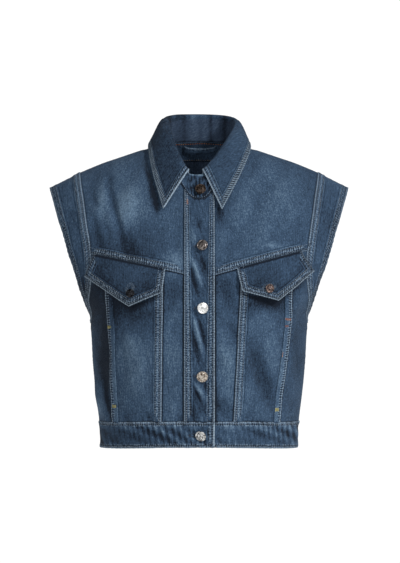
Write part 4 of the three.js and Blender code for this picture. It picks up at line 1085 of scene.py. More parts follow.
def back_panel():
    """The whole back below its yoke, up along both armholes."""
    face = "back"
    seam_z = spaced(SEAM_SIDE_Z, BACK_YOKE_Z - GAP / 2, BACK_PITCH)
    seam, seam_z = beside_seam(face, seam_z, -CURVED_GAP / 2)
    seam[0], seam_z[0] = 1, SEAM_SIDE_Z - CURVED_GAP / 2
    seam_z[-1] = BACK_YOKE_Z - GAP / 2
    corner_x = float(x_at(seam[-1], seam_z[-1]))
    x = spaced(-corner_x, corner_x, BACK_PITCH)[1:-1]
    top_t = np.concatenate([-seam, t_at(x, BACK_YOKE_Z), seam[::-1]])
    top_z = np.concatenate([seam_z, np.full_like(x, BACK_YOKE_Z - GAP / 2), seam_z[::-1]])
    corner = (len(seam) - 1) / (len(top_t) - 1)
    inner = float(t_at(BACK_FOOT_X, WAIST_Z))
    place = np.linspace(0, 1, len(top_t))
    foot_t = np.interp(place, [0, corner, 1 - corner, 1], [-1, -inner, inner, 1])
    up = np.linspace(0, 1, round(TALL["back"] / BACK_PITCH))[:, None]
    t = lerp(foot_t, top_t, up)
    z = lerp(WAIST_Z + GAP / 2, top_z, up)
    kinds = {"foot": "seam", "head": "seam", "start": "seam", "end": "seam"}
    sew_on_form("back_panel", face, t, z, np.zeros_like(z), -CLOTH, kinds, ["back_yoke"], grain=0.5)


def band_wrinkles(x, z):
    """The short upright wrinkles that its stitching draws up in the waistband."""
    upright = np.sin(x * 2 * np.pi / 8.3 + 2.3 * np.sin(x / 17) + z / 7)
    slanting = np.sin((x + 1.7 * z) / 5.3 + 1.9 * np.sin(x / 29))
    patchy = 0.6 + 0.4 * np.sin(x / 31 + z / 13)
    return (0.6 * upright + 0.5 * slanting) * patchy


def waistband_length(node, face, from_t, to_t, lift, ends):
    """One length of the waistband, which stands off the form by what lift says."""
    pitch = FRONT_PITCH if face == "front" else BACK_PITCH
    t = np.linspace(from_t, to_t, round(GIRTH[face] / pitch))[None, :]
    up = np.linspace(0, 1, 20)[:, None]
    z = lerp(hem_z(face, t), waist_z(face, t) - GAP / 2, up)
    t = t + np.zeros_like(z)
    out = lift(x_at(t, HEM_Z))
    kinds = {"foot": "waist", "head": "waist", **ends}
    wrinkles = band_wrinkles(x_at(t, HEM_Z), z)
    out = out + wrinkles
    # its colour follows the wrinkles as painted light and shade, a little darker overall and paler along
    # its upper and lower parts
    fade_and_shade = 1.05 * wrinkles - 0.26 + 0.4 * ease(up, 0.62, 0.84) + 0.16 * (1 - ease(up, 0.1, 0.3))
    sew_on_form(node, face, t, z, out, out - DOUBLE, kinds, fade_and_shade=fade_and_shade)


def waistband():
    """The waistband's three lengths. In front it rises over the placket and dips under it."""
    proud = 0.8
    right_end = float(t_at(BAND_END["over"], WAIST_Z))
    left_end = float(t_at(BAND_END["under"], WAIST_Z))

    def over(x):
        return lerp(proud, PLACKET["out"], ease(x, -34, -16))

    def under(x):
        return lerp(0, proud, ease(x, 26, 42))

    def all_round(x):
        return proud + np.zeros_like(x)

    ends = {"start": "rubbed", "end": "seam"}
    waistband_length("waistband_front_right", "front", right_end, -1, over, ends)
    waistband_length("waistband_front_left", "front", left_end, 1, under, ends)
    waistband_length("waistband_back", "back", -1, 1, all_round, {"start": "seam", "end": "seam"})


def pull_wrinkles(x, z):
    """The placket's pulled wrinkles, and finer ones between them."""
    inside = ease(x, -19, -12) * (1 - ease(x, 13, 20))
    fine = np.sin((z + 2.6 * x) / 2.7 + 1.6 * np.sin(z / 31)) * np.sin(z / 23 + x / 9)
    return inside * (1.3 * along_bends(PLACKET_CREASES, x, z) + 0.34 * fine)


def placket(node, size, edges, wrinkled):
    """One of the two plackets, from the waistband to the neckline."""
    kinds = {**edges, "foot": "seam", "head": "seam"}
    columns = spaced(size["right"], size["left"], FINE_PITCH)[None, :]
    top = neck_z("front", columns) - GAP
    z = lerp(waist_z("front", 0) + GAP, top, np.linspace(0, 1, 190)[:, None])
    x = columns + np.zeros_like(z)
    wrinkles = pull_wrinkles(x, z) if wrinkled else 0 * x
    out = size["out"] + wrinkles
    into = out - (size["out"] - size["in"])
    # its colour follows the wrinkles as painted light and shade, a little darker overall
    sew_on_form(node, "front", t_at(x, z), z, out, into, kinds, fade_and_shade=0.62 * wrinkles - 0.1)


def flap(side):
    """A pocket flap: hung from the yoke's seam, pointed below, and standing off towards its point."""
    f, tip = side["flap"], side["flap"]["foot"]["share"][1]
    share = np.concatenate([spaced(0, tip, 0.018), spaced(tip, 1, 0.018)[1:]])
    up = np.linspace(0, 1, 34)[:, None]
    low_x, low_z = straight(f["foot"], "share", "x")(share), straight(f["foot"], "share", "z")(share)
    high_x = straight(f["top"], "share", "x")(share)
    high_z = yoke_z(side, high_x) - GAP
    x, z = lerp(low_x, high_x, up), lerp(low_z, high_z, up)
    middle = np.sin(np.pi * np.clip(share, 0.08, 0.92))
    down = 1 - up
    stand = FLAP["clear"] + FLAP["under_welt"] * ease(down, 0.25, 0.7)
    stand = stand + FLAP["lift"] * down**2 * (0.35 + 0.65 * middle)
    stand = stand + FLAP["belly"] * np.sin(np.pi * down) * middle
    kinds = {"foot": "folded", "start": "folded", "end": "shaded", "head": "under"}
    name, t = "flap_" + side["name"], side["sign"] * t_at(x, z)
    hangs, fade_and_shade = ["front_yoke_" + side["name"]], side["flap"]["fade_and_shade"]
    sew_on_form(name, "front", t, z, stand + FLAP["thick"], stand, kinds, hangs, fade_and_shade)


def neck_point(angle, out):
    """The neck seam at angles round the neck, which start at the centre front and go by the right."""
    a = np.radians(angle)
    x = -NECK_HALF * np.sin(a)
    ends = []
    for face in ("front", "back"):
        z = neck_z(face, x)
        t = t_at(x, z)
        ends.append(form(face, t, z) + form_normal(face, t, z) * out)
    return np.where(np.cos(a)[..., None] >= 0, *ends)


def column_point(points, angle):
    """A point of a table's curve round the neck, by its angle."""
    return np.stack([smooth(points, "angle", key)(angle) for key in "xyz"], axis=-1)


def collar_frame(angle):
    """The neck seam, the roll line, and the directions up the stand and out from the neck."""
    lap = 1.7 * (1 - ease(angle, 22, 60)) - 1.3 * ease(angle, 305, 345)
    low, high = neck_point(angle, 0.2), column_point(ROLL, angle)
    tangent = column_point(ROLL, angle + 1) - column_point(ROLL, angle - 1)
    tangent = unit(tangent + neck_point(angle + 1, 0) - neck_point(angle - 1, 0))
    height = np.linalg.norm(high - low, axis=-1, keepdims=True)
    up = unit(high - low)
    outward = unit(np.cross(up, tangent))
    flip = (outward * low * (1, 1, 0)).sum(-1, keepdims=True) < 0
    outward = np.where(flip, -outward, outward)
    return low + outward * lap[..., None], high + outward * lap[..., None], up, outward, height


def collar_stand():
    """The collar's stand, crumpled at the front and rounded at its right end."""
    angle = np.linspace(STAND["start"], STAND["end"], 200)
    low, _, up, outward, height = collar_frame(angle)
    into = np.clip((STAND["round_from"] - angle) / (STAND["round_from"] - STAND["start"]), 0, 1)
    tall = (height[:, 0] - STAND["lip"] - GAP) * (0.3 + 0.7 * np.sqrt(1 - into**2))
    share = np.linspace(0, 1, 18)[:, None]
    middle = low + up * lerp(CURVED_GAP, tall, share)[..., None]
    half = outward * STAND["thick"] / 2
    front = 1 - ease(angle, 4, 24) + ease(angle, 346, 364)
    along = angle * 1.3
    crumple = np.sin(along / 1.5 + 8 * share) * np.sin(along / 4.1 - 7 * share + 1)
    crumple = np.tanh(2 * (crumple + 0.7 * np.sin(along / 0.9 - 9 * share)))
    middle = middle + outward * (0.5 * crumple * front)[..., None]
    kinds = {"foot": "seam", "start": "rolled", "end": "rolled", "head": "plain"}
    # its colour: painted light and shade along the crumples, painted shade over the front where the leaf
    # overhangs it, paler along its upper edge, and the wrinkles' painted light and shade inside the back
    fade_and_shade = (1.0 * crumple - 0.75 + 2.2 * ease(share, 0.92, 1)) * front + neck_wrinkle_shade(middle)
    sew("collar_stand", middle + half, middle - half, kinds, fade_and_shade, ["back_yoke"])


def neck_wrinkle_shade(points):
    """Painted light and shade of the upright wrinkles inside the back of the collar, over a little painted
    shade there.
    """
    x, y = points[..., 0], points[..., 1]
    total = np.full(x.shape, -0.15)
    for place, wide, amount in NECK_WRINKLES:
        total += amount * np.exp(-(((x - place) / wide) ** 2))
    return total * ease(y, 10, 30)


def leaf_middle(angle, roll_steps, fall_steps):
    """The collar leaf's middle surface: a short lip, the roll, and the fall to its edge."""
    _, high, up, outward, _ = collar_frame(angle)
    radius = smooth(ROLL, "angle", "radius")(angle)[:, None]
    rows = [high - up * STAND["lip"]]
    for turn in np.linspace(0, math.pi, roll_steps):
        rows.append(high + outward * radius * (1 - math.cos(turn)) + up * radius * math.sin(turn))
    start, edge = high + outward * 2 * radius, column_point(LEAF_EDGE, angle)
    belly = smooth(LEAF_EDGE, "angle", "belly")(angle)[:, None]
    for share in np.linspace(0, 1, fall_steps + 1)[1:]:
        rows.append(lerp(start, edge, share) + outward * belly * math.sin(math.pi * math.sqrt(share)))
    return np.stack(rows)


def collar_leaf():
    """The collar's leaf, which rolls over the stand's upper edge and falls round it."""
    angle = np.linspace(LEAF["start"], LEAF["end"], 210)
    middle = leaf_middle(angle, 11, 30)
    outward = collar_frame(angle)[3]
    normal = unit(np.cross(np.gradient(middle, axis=1), np.gradient(middle, axis=0)))
    row, column = -10, 100  # a place on the fall, where outward is plain
    if (normal[row, column] * outward[column]).sum() < 0:
        normal = -normal
    half = normal * LEAF["thick"] / 2
    x = middle[..., 0]
    kinds = {"head": "collar", "start": "rubbed", "end": "rubbed"}
    inside = 1 - ease(np.linspace(0, 1, len(middle)), 0.2, 0.3)[:, None]
    # the leaf on the wearer's right, away from the light, is painted darker as shade, the other a little,
    # and inside the back it carries the wrinkles' painted light and shade
    fade_and_shade = np.where(x < 0, -0.65, -0.16) * ease(np.abs(x), 10, 40) + neck_wrinkle_shade(middle) * inside
    sew("collar_leaf", middle + half, middle - half, kinds, fade_and_shade, ["collar_stand"])


def neck_facing():
    """The facing inside the back of the neck."""
    x = spaced(-FACING["half"], FACING["half"], BACK_PITCH)[None, :]
    top = neck_z("back", x) - GAP
    z = top - FACING["drop"] * (1 - np.linspace(0, 1, 14)[:, None])
    x = x + np.zeros_like(z)
    kinds = {"foot": "seam", "head": "seam"}
    out, into = np.full_like(z, FACING["in"]), np.full_like(z, FACING["out"])
    sew_on_form("neck_facing", "back", t_at(x, z), z, out, into, kinds, ["back_yoke"], fade_and_shade=-0.3)


def hanging_loop():
    u = np.linspace(0, 1, 40)[None, :]
    bow = np.sqrt(np.sin(np.pi * np.clip(u, 0.001, 0.999)))
    x = lerp(LOOP["right"], LOOP["left"], u)
    high = neck_z("back", x) - LOOP["drop"] - LOOP["hang"] * bow
    z = high - LOOP["wide"] * np.linspace(1, 0, 8)[:, None]
    x = x + np.zeros_like(z)
    away = FACING["in"] - CURVED_GAP - LOOP["off"] * bow + np.zeros_like(z)
    kinds = {"foot": "plain", "head": "rolled"}
    sew_on_form("hanging_loop", "back", t_at(x, z), z, away - LOOP["thick"], away, kinds, ["neck_facing"])


def inset(node, edge, distance, start=0.0, stop=1.0):
    """A line on a piece's face at a distance from one edge, with its outward directions."""
    piece = pieces[node]
    points, normals, far = piece["points"], piece["normals"], piece["far"][edge]
    if edge in ("foot", "head"):
        points, normals, far = points.transpose(1, 0, 2), normals.transpose(1, 0, 2), far.T
    if edge in ("end", "head"):
        points, normals, far = points[:, ::-1], normals[:, ::-1], far[:, ::-1]
    line, out = [], []
    for p, n, d in zip(points, normals, far):
        at = np.interp(distance, d, np.arange(len(d)))
        k = min(int(at), len(d) - 2)
        line.append(lerp(p[k], p[k + 1], at - k))
        out.append(lerp(n[k], n[k + 1], at - k))
    line, out = np.array(line), unit(np.array(out))
    along = np.append(0, np.cumsum(np.linalg.norm(np.diff(line, axis=0), axis=1)))
    keep = np.arange(along[-1] * start, along[-1] * stop, 1.2)
    line = np.stack([np.interp(keep, along, line[:, k]) for k in range(3)], axis=-1)
    out = np.stack([np.interp(keep, along, out[:, k]) for k in range(3)], axis=-1)
    return line, unit(out)


def on_piece(node, x, z):
    """Points and outward directions on a piece's face, above places (x, z) of the front."""
    piece = pieces[node]
    points, normals = piece["points"], piece["normals"]
    line, out = [], []
    for px, pz in zip(np.atleast_1d(x), np.atleast_1d(z)):
        off = (points[..., 0] - px) ** 2 + (points[..., 2] - pz) ** 2
        r, c = np.unravel_index(off.argmin(), off.shape)
        rows = slice(max(r - 1, 0), r + 2)
        columns = slice(max(c - 1, 0), c + 2)
        weight = 1 / (off[rows, columns] + 0.01)
        weight = weight / weight.sum()
        line.append((points[rows, columns] * weight[..., None]).sum((0, 1)))
        out.append((normals[rows, columns] * weight[..., None]).sum((0, 1)))
    return np.array(line), unit(np.array(out))


def thread_tree():
    """Lays stitches along lines: each line is divided, and one stitch lies at each place."""
    tree = bpy.data.node_groups.new("stitches_along_lines", "GeometryNodeTree")
    face = tree.interface
    face.new_socket("Geometry", in_out="INPUT", socket_type="NodeSocketGeometry")
    pitch = face.new_socket("Stitch pitch", in_out="INPUT", socket_type="NodeSocketFloat")
    pitch.default_value = STITCH["pitch"] * MM
    shape = face.new_socket("Stitch", in_out="INPUT", socket_type="NodeSocketObject")
    colour = face.new_socket("Thread", in_out="INPUT", socket_type="NodeSocketMaterial")
    face.new_socket("Geometry", in_out="OUTPUT", socket_type="NodeSocketGeometry")

    def node(kind, *links, **settings):
        new = tree.nodes.new(kind)
        for key, value in settings.items():
            setattr(new, key, value)
        for source, output, target in links:
            tree.links.new(source.outputs[output], new.inputs[target])
        return new

    given = node("NodeGroupInput")
    curve = node("GeometryNodeMeshToCurve", (given, "Geometry", "Mesh"))
    spread = node(
        "GeometryNodeResampleCurve",
        (curve, "Curve", "Curve"),
        (given, "Stitch pitch", "Length"),
        mode="LENGTH",
    )
    tangent = node("GeometryNodeInputTangent")
    outward = node("GeometryNodeInputNamedAttribute", data_type="FLOAT_VECTOR")
    outward.inputs["Name"].default_value = "outward"
    along = node(
        "FunctionNodeAlignRotationToVector",
        (tangent, "Tangent", "Vector"),
        axis="X",
    )
    turned = node(
        "FunctionNodeAlignRotationToVector",
        (along, "Rotation", "Rotation"),
        (outward, "Attribute", "Vector"),
        axis="Z",
        pivot_axis="X",
    )
    wobble = node("FunctionNodeRandomValue", data_type="FLOAT_VECTOR")
    wobble.inputs["Min"].default_value = (0.85, 0.85, 0.85)
    wobble.inputs["Max"].default_value = (1.1, 1.15, 1.1)
    wobble.inputs["Seed"].default_value = STITCH["seed"]
    info = node("GeometryNodeObjectInfo", (given, "Stitch", "Object"))
    place = node(
        "GeometryNodeInstanceOnPoints",
        (spread, "Curve", "Points"),
        (info, "Geometry", "Instance"),
        (turned, "Rotation", "Rotation"),
        (wobble, "Value", "Scale"),
    )
    real = node("GeometryNodeRealizeInstances", (place, "Instances", "Geometry"))
    painted = node("GeometryNodeSetMaterial", (real, "Geometry", "Geometry"), (given, "Thread", "Material"))
    node("NodeGroupOutput", (painted, "Geometry", "Geometry"))
    return tree, {"pitch": pitch.identifier, "shape": shape.identifier, "colour": colour.identifier}


def ring_faces(rings, around):
    """Faces between rings of points, with a cap on the first ring and on the last."""
    faces = []
    for one in range(0, (rings - 1) * around, around):
        two = one + around
        for a in range(around):
            b = (a + 1) % around
            faces.append((one + a, one + b, two + b, two + a))
    faces.append(tuple(range(around))[::-1])
    faces.append(tuple(range((rings - 1) * around, rings * around)))
    return faces


def one_stitch(length, wide):
    """A single stitch, lying along X."""
    mesh = bpy.data.meshes.new("stitch")
    rings, around = 5, 6
    points = []
    for r in range(rings):
        place = -1 + 2 * (r + 0.5) / rings
        thick = math.sqrt(1 - place**2) * wide / 2
        for a in range(around):
            turn = 2 * math.pi * a / around
            points.append((place * length / 2, thick * math.cos(turn), thick * math.sin(turn)))
    faces = ring_faces(rings, around)
    mesh.from_pydata([[v * MM for v in p] for p in points], [], faces)
    mesh.polygons.foreach_set("use_smooth", [True] * len(faces))
    return in_scene("stitch", mesh)


def stitch(name, lines, thread, pitch, shape):
    """Sews lines of stitches, each given as points with their outward directions, as one piece."""
    mesh = bpy.data.meshes.new(name)
    points = np.concatenate([line + out * STITCH["proud"] for line, out in lines])
    outward = np.concatenate([out for _, out in lines])
    edges, first = [], 0
    for line, _ in lines:
        edges += [(first + k, first + k + 1) for k in range(len(line) - 1)]
        first += len(line)
    mesh.from_pydata((points * MM).tolist(), edges, [])
    mesh.attributes.new("outward", "FLOAT_VECTOR", "POINT").data.foreach_set("vector", outward.ravel())
    rows = in_scene(name + "_lines", mesh)
    modifier = rows.modifiers.new("stitches", "NODES")
    modifier.node_group = stitches_along_lines
    modifier[sockets["pitch"]] = pitch * MM
    modifier[sockets["shape"]] = shape
    modifier[sockets["colour"]] = thread
    view = bpy.context.evaluated_depsgraph_get()
    made = bpy.data.meshes.new_from_object(rows.evaluated_get(view))
    made.name = name
    bpy.data.objects.remove(rows)
    if not made.materials:
        made.materials.append(thread)
    piece = in_scene(name, made)
    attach(piece, "root")


def double_row(node, edge, start=0.0, stop=1.0, first=STITCH_IN, apart=STITCH_APART):
    """Two rows along one edge of a piece."""
    return [inset(node, edge, first, start, stop), inset(node, edge, first + apart, start, stop)]


def bar_tack(node, x, z, angle, length, wide):
    """A short dense bar of zigzag stitches across a line's end, as lines a thread apart."""
    a = math.radians(angle)
    bar_pitch = 0.7
    lines = []
    for s in np.arange(0, length, bar_pitch) - length / 2:
        cx, cz = x + s * math.cos(a), z + s * math.sin(a)
        ends = np.array([-1, 1]) * wide / 2
        lines.append(on_piece(node, cx - ends * math.sin(a), cz + ends * math.cos(a)))
    return lines


def buttonhole(node, x, z, angle, length, eye):
    """A buttonhole's close stitches, square to its slit and fanned round its eye."""
    a = math.radians(angle)
    inner, outer, count = 0.55, 1.25, 46
    lines = []
    for turn in np.linspace(0, 2 * math.pi, count, endpoint=False):
        ux, uz = math.cos(turn), math.sin(turn)
        px, pz = ux * length / 2, uz * eye
        ends_x = np.array([px - ux * inner, px + ux * outer])
        ends_z = np.array([pz * 0.45, pz * 1.5])
        at_x = x + ends_x * math.cos(a) - ends_z * math.sin(a)
        at_z = z + ends_x * math.sin(a) + ends_z * math.cos(a)
        lines.append(on_piece(node, at_x, at_z))
    return lines


def linear(colour):
    """A colour from its sRGB hex digits."""
    values = [int(colour[k : k + 2], 16) / 255 for k in (1, 3, 5)]
    return tuple(v / 12.92 if v <= 0.04045 else ((v + 0.055) / 1.055) ** 2.4 for v in values) + (1.0,)


def finish(name, **values):
    """A new material. Returns it, its shader, and a function that adds a node to it."""
    material = bpy.data.materials.new(name)
    material.use_nodes = True
    tree = material.node_tree
    shader = tree.nodes["Principled BSDF"]
    for key, value in values.items():
        shader.inputs[key.replace("_", " ")].default_value = value

    def add(kind, inputs=None, out=0, **settings):
        """Adds a node with its settings and inputs, which are values or other nodes' outputs."""
        new = tree.nodes.new("ShaderNode" + kind)
        for key, value in settings.items():
            setattr(new, key, value)
        for key, value in (inputs or {}).items():
            if isinstance(value, bpy.types.NodeSocket):
                tree.links.new(value, new.inputs[key])
            else:
                new.inputs[key].default_value = value
        return new.outputs[out]

    def join(output, key):
        tree.links.new(output, shader.inputs[key])

    return material, add, join


def mixed(add, share, one, two):
    """A colour between two, nearer the second where share is larger."""
    return add("Mix", {0: share, 6: one, 7: two}, out=2, data_type="RGBA")


def maths(add, operation, one, two=0.0, three=0.0):
    return add("Math", {0: one, 1: two, 2: three}, operation=operation)


def stretched(add, vector, across, up):
    """Coordinates in which a noise's spots measure so many millimetres across and up."""
    size = (1000 / across, 1000 / up, 1000 / across)
    return add("VectorMath", {0: vector, 1: size}, operation="MULTIPLY")


def spots(add, vector, across, up, detail=2.0):
    """Noise from 0 to 1, around a half."""
    return add("TexNoise", {"Vector": stretched(add, vector, across, up), "Scale": 1.0, "Detail": detail})


def spread(add, value, low, high, to_low=0.0, to_high=1.0):
    """A value's range from low to high, spread over another range and held inside it."""
    inputs = {"Value": value, "From Min": low, "From Max": high, "To Min": to_low, "To Max": to_high}
    return add("MapRange", inputs, clamp=True)


def denim_finish(name, dark, middle, light, worn):
    """Washed indigo twill: slubs along the warp, clouds of fading, worn, puckered seam bands, and painted
    shade and highlights.
    """
    material, add, join = finish(
        name,
        Roughness=0.93,
        Specular_IOR_Level=0.15,
        Sheen_Weight=0.12,
        Sheen_Roughness=0.5,
        Sheen_Tint=linear("#9fb2c8"),
    )
    cloth_place = add("UVMap", uv_map="cloth")
    place = add("TexCoord", out=3)
    fade_and_shade, away, along, band, pucker, roping, raised, wear, tuck = (
        add("Attribute", out=2, attribute_name=key) for key in ("fade_and_shade", "away", "along", *EDGE_VALUES)
    )

    def times(*values):
        total = values[0]
        for value in values[1:]:
            total = maths(add, "MULTIPLY", total, value)
        return total

    def weigh(total, value, weight):
        return maths(add, "MULTIPLY_ADD", value, weight, total)

    def bell(middle, wide):
        """1 at a distance from the edge, and less on both sides of it."""
        off = maths(add, "DIVIDE", maths(add, "SUBTRACT", away, middle), wide)
        return maths(add, "EXPONENT", times(off, off, -1.0))

    slub = spots(add, cloth_place, 1.5, 15)
    fleck = spots(add, cloth_place, 2.0, 3.0, 4)
    mottle = spots(add, place, 5, 12, 4)
    cloud = spots(add, place, 50, 60, 3)
    turns = (2 * math.pi * 1000 / TWILL, 2 * math.pi * 1000 / TWILL, 0)
    diagonal = add("VectorMath", {0: cloth_place, 1: turns}, out=1, operation="DOT_PRODUCT")
    twill = maths(add, "SINE", diagonal)

    # the fine puckers square to a row of stitches, strongest inside the stitched band
    beyond = maths(add, "MAXIMUM", maths(add, "SUBTRACT", away, band), 0.0)
    reach = times(maths(add, "EXPONENT", times(beyond, -1 / PUCKER["fades_in"])), roping)
    wander = times(spots(add, place, 9, 9, 1), PUCKER["wander"])
    waves = weigh(wander, along, 2 * math.pi / PUCKER["long"])
    turn = maths(add, "ADD", waves, times(away, PUCKER["slant"]))
    patchy = spread(add, spots(add, place, 11, 11, 1), 0.35, 0.6, 0.45, 1.0)
    rope = times(maths(add, "SINE", turn), reach, patchy)
    in_band = times(spread(add, beyond, 0.0, 1.2, 1.0, 0.0), maths(add, "MINIMUM", pucker, 1.3))

    # the fading mark, which also carries painted light and shade from the cloth's pieces
    tone = weigh(DENIM_TONE["base"], fade_and_shade, DENIM_TONE["fade_and_shade"])
    for part, value in (("slub", slub), ("fleck", fleck), ("mottle", mottle), ("cloud", cloud)):
        tone = weigh(tone, maths(add, "SUBTRACT", value, 0.5), DENIM_TONE[part])
    tone = weigh(tone, rope, DENIM_TONE["rope"])
    tone = weigh(tone, twill, DENIM_TONE["twill"])
    # painted shade in the grooves of the two stitch rows
    for row in (STITCH_IN, STITCH_IN + STITCH_APART):
        tone = weigh(tone, times(in_band, bell(row, 1.3)), DENIM_TONE["row"])
    ridge = bell(STITCH_IN + STITCH_APART / 2, 1.7)
    tone = weigh(tone, times(in_band, ridge, raised), DENIM_TONE["ridge"])
    # past a stitched band: a paler line where it steps down, and a painted shadow beside it
    stitched = spread(add, band, 8.0, 9.0)
    for part, beyond_band in (("step", 1.8), ("beside", 3.6)):
        line = bell(maths(add, "ADD", band, beyond_band), 0.9)
        tone = weigh(tone, times(stitched, line), DENIM_TONE[part])
    # painted shadow where the cloth goes under a seam
    tone = weigh(tone, times(tuck, bell(0.0, 1.9)), DENIM_TONE["tuck"])
    low = mixed(add, spread(add, tone, 0, 0.5), linear(dark), linear(middle))
    cloth_colour = mixed(add, spread(add, tone, 0.5, 1), low, linear(light))

    # indigo rubbed off: along the fold itself, and in flecks on top of the puckers
    on_ridge = maths(add, "ADD", times(ridge, 0.7), 0.3)
    crests = times(spread(add, weigh(fleck, rope, 0.07), 0.47, 0.64), on_ridge)
    rubbed = times(wear, bell(0.2, 1.0), spread(add, weigh(fleck, rope, 0.12), 0.38, 0.6, 0.4, 0.9))
    rubbed = maths(add, "MAXIMUM", rubbed, times(in_band, crests, DENIM_TONE["crests"]))
    join(mixed(add, rubbed, cloth_colour, linear(worn)), "Base Color")

    height = weigh(0.0, twill, 0.25)
    for value, weight in ((slub, 1.2), (fleck, 1.6), (mottle, 1.2), (rope, PUCKER["high"])):
        height = weigh(height, value, weight)
    join(add("Bump", {"Height": height, "Strength": 0.6, "Distance": 0.0006}), "Normal")
    return material


def thread_finish(name, colour, worn):
    """Sewing thread, rubbed paler here and there."""
    material, add, join = finish(name, Roughness=0.75, Specular_IOR_Level=0.25, Sheen_Weight=0.2)
    place = add("TexCoord", out=3)
    rubbed = spread(add, spots(add, place, 9, 9), 0.4, 0.65)
    join(mixed(add, rubbed, linear(colour), linear(worn)), "Base Color")
    twist = spots(add, place, 0.35, 0.35)
    join(add("Bump", {"Height": twist, "Strength": 0.4, "Distance": 0.0002}), "Normal")
    return material


def metal_finish(name, bright, tarnish, share, roughness):
    """Cast metal with a lightly hammered face, tarnished in its hollows."""
    material, add, join = finish(name, Metallic=1.0)
    place = add("TexCoord", out=3)
    patina = spots(add, place, 2.4, 2.4, 4)
    worn_off = spread(add, patina, share - 0.12, share + 0.12)
    join(mixed(add, worn_off, linear(tarnish), linear(bright)), "Base Color")
    join(spread(add, patina, 0.3, 0.7, roughness + 0.2, roughness), "Roughness")
    dents = spots(add, place, 1.6, 1.6, 1)
    join(add("Bump", {"Height": dents, "Strength": 0.5, "Distance": 0.0005}), "Normal")
    return material


# Denim, light on dark: how much each part of its pattern moves its tone, where 0 is dark and 1 light.
# Its fading also carries painted light and shade, and row, beside and tuck are painted shade: in the
# stitch rows' grooves, beside the stitched bands and where cloth goes under a seam
TWILL = 0.85
DENIM_TONE = {
    "base": 0.42,
    "fade_and_shade": 0.4,
    "slub": 0.6,
    "fleck": 0.95,
    "mottle": 0.36,
    "cloud": 0.2,
    "rope": 0.13,
    "twill": 0.07,
    "row": -0.36,
    "ridge": 0.2,
    "step": 0.22,
    "beside": -0.22,
    "tuck": -0.4,
    "crests": 0.52,
}
PUCKER = {"long": 4.0, "slant": 0.1, "wander": 6.5, "fades_in": 0.9, "high": 0.7}
STITCH = {"pitch": 3.7, "long": 2.5, "wide": 0.9, "proud": 0.1, "seed": 7}

# Denim of cotton, with its dark, middle, light and rubbed colours
denim = denim_finish("washed_indigo_denim", "#111a27", "#3a5069", "#70899f", "#98abbc")
# the reverse is coloured about as dark as the face, darker than real reverse denim, as painted shade inside
# the jacket
denim_inside = denim_finish("denim_reverse", "#18202e", "#3a4a60", "#64778e", "#8796a8")
# Sewing threads, each with its own colour and where it is rubbed
blue_thread = thread_finish("grey_blue_thread", "#465a6f", "#8b9baa")
tan_thread = thread_finish("tan_thread", "#6f6152", "#a08c74")
orange_thread = thread_finish("orange_thread", "#93522f", "#c08a5e")
yellow_thread = thread_finish("yellow_thread", "#8f8850", "#c4bb74")
navy_thread = thread_finish("navy_thread", "#1c2536", "#3a4a60")
# The buttons' metals: bright, tarnished, how much is tarnished, and how rough
bronze = metal_finish("dark_bronze", "#5c5048", "#1c1715", 0.52, 0.45)
gunmetal = metal_finish("dark_gunmetal", "#4a4a4e", "#101318", 0.56, 0.5)
copper = metal_finish("worn_copper", "#85726a", "#26252a", 0.52, 0.42)
pewter = metal_finish("worn_pewter", "#8f8885", "#2e2827", 0.48, 0.34)
silver = metal_finish("worn_silver", "#f2f3f2", "#8a867f", 0.4, 0.3)
dull_silver = metal_finish("dull_silver", "#eeefee", "#4b4a48", 0.5, 0.3)
brass = metal_finish("worn_brass", "#cdc5ba", "#4c3a2c", 0.47, 0.3)

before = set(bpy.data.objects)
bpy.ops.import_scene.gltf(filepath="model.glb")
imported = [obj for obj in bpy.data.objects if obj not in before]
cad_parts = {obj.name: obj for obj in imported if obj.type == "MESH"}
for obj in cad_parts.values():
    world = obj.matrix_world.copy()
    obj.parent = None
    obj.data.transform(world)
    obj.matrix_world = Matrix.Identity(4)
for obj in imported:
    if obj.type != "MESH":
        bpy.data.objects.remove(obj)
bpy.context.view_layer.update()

for each in SIDES:
    front_yoke(each)
    lower_front(each)
    side_panel(each)
    cap(each, "front")
    cap(each, "back")
    flap(each)
back_yoke()
back_panel()
waistband()
placket("placket", PLACKET, {"start": "felled", "end": "creased"}, True)
placket("placket_under", UNDER_PLACKET, {"start": "folded", "end": "folded"}, False)
collar_stand()
collar_leaf()
neck_facing()
hanging_loop()

stitches_along_lines, sockets = thread_tree()
plain_stitch = one_stitch(STITCH["long"], STITCH["wide"])
hole_stitch = one_stitch(0.7, 0.6)


def seam_rows():
    """The rows of stitching in the thread that matches the denim."""
    edge_row = 2.2  # how far from an edge a single row lies
    rows = []
    for side in SIDES:
        name = side["name"]
        cap_halves = ("cap_front_" + name, "cap_back_" + name)
        rows += double_row("front_yoke_" + name, "foot")
        rows += double_row("front_side_" + name, "start")
        for half in cap_halves:
            rows += double_row(half, "start")
        for half in cap_halves:
            rows += double_row(half, "end", first=2.0, apart=CAP_HEM - 4)
        rows += double_row("flap_" + name, "foot", 0.02, 0.98)
        rows += double_row("flap_" + name, "start", 0.12, 1)
        rows += [inset("flap_" + name, "end", STITCH_IN, 0.2, 1)]
    for node in ("waistband_front_right", "waistband_front_left", "waistband_back"):
        rows += [inset(node, "foot", edge_row), inset(node, "head", edge_row)]
    rows += [inset("waistband_front_right", "start", 2.4)]
    rows += double_row("placket", "end", first=edge_row, apart=9)
    rows += double_row("placket", "start", first=3, apart=5)
    rows += double_row("back_yoke", "foot")
    rows += [inset("collar_leaf", "head", edge_row, 0.01, 0.99)]
    rows += [inset("collar_leaf", "head", 8.5, 0.02, 0.98)]
    for edge in ("start", "end"):
        rows += [inset("collar_leaf", edge, edge_row, 0.35, 0.98)]
    rows += [inset("collar_stand", "foot", edge_row)]
    return rows


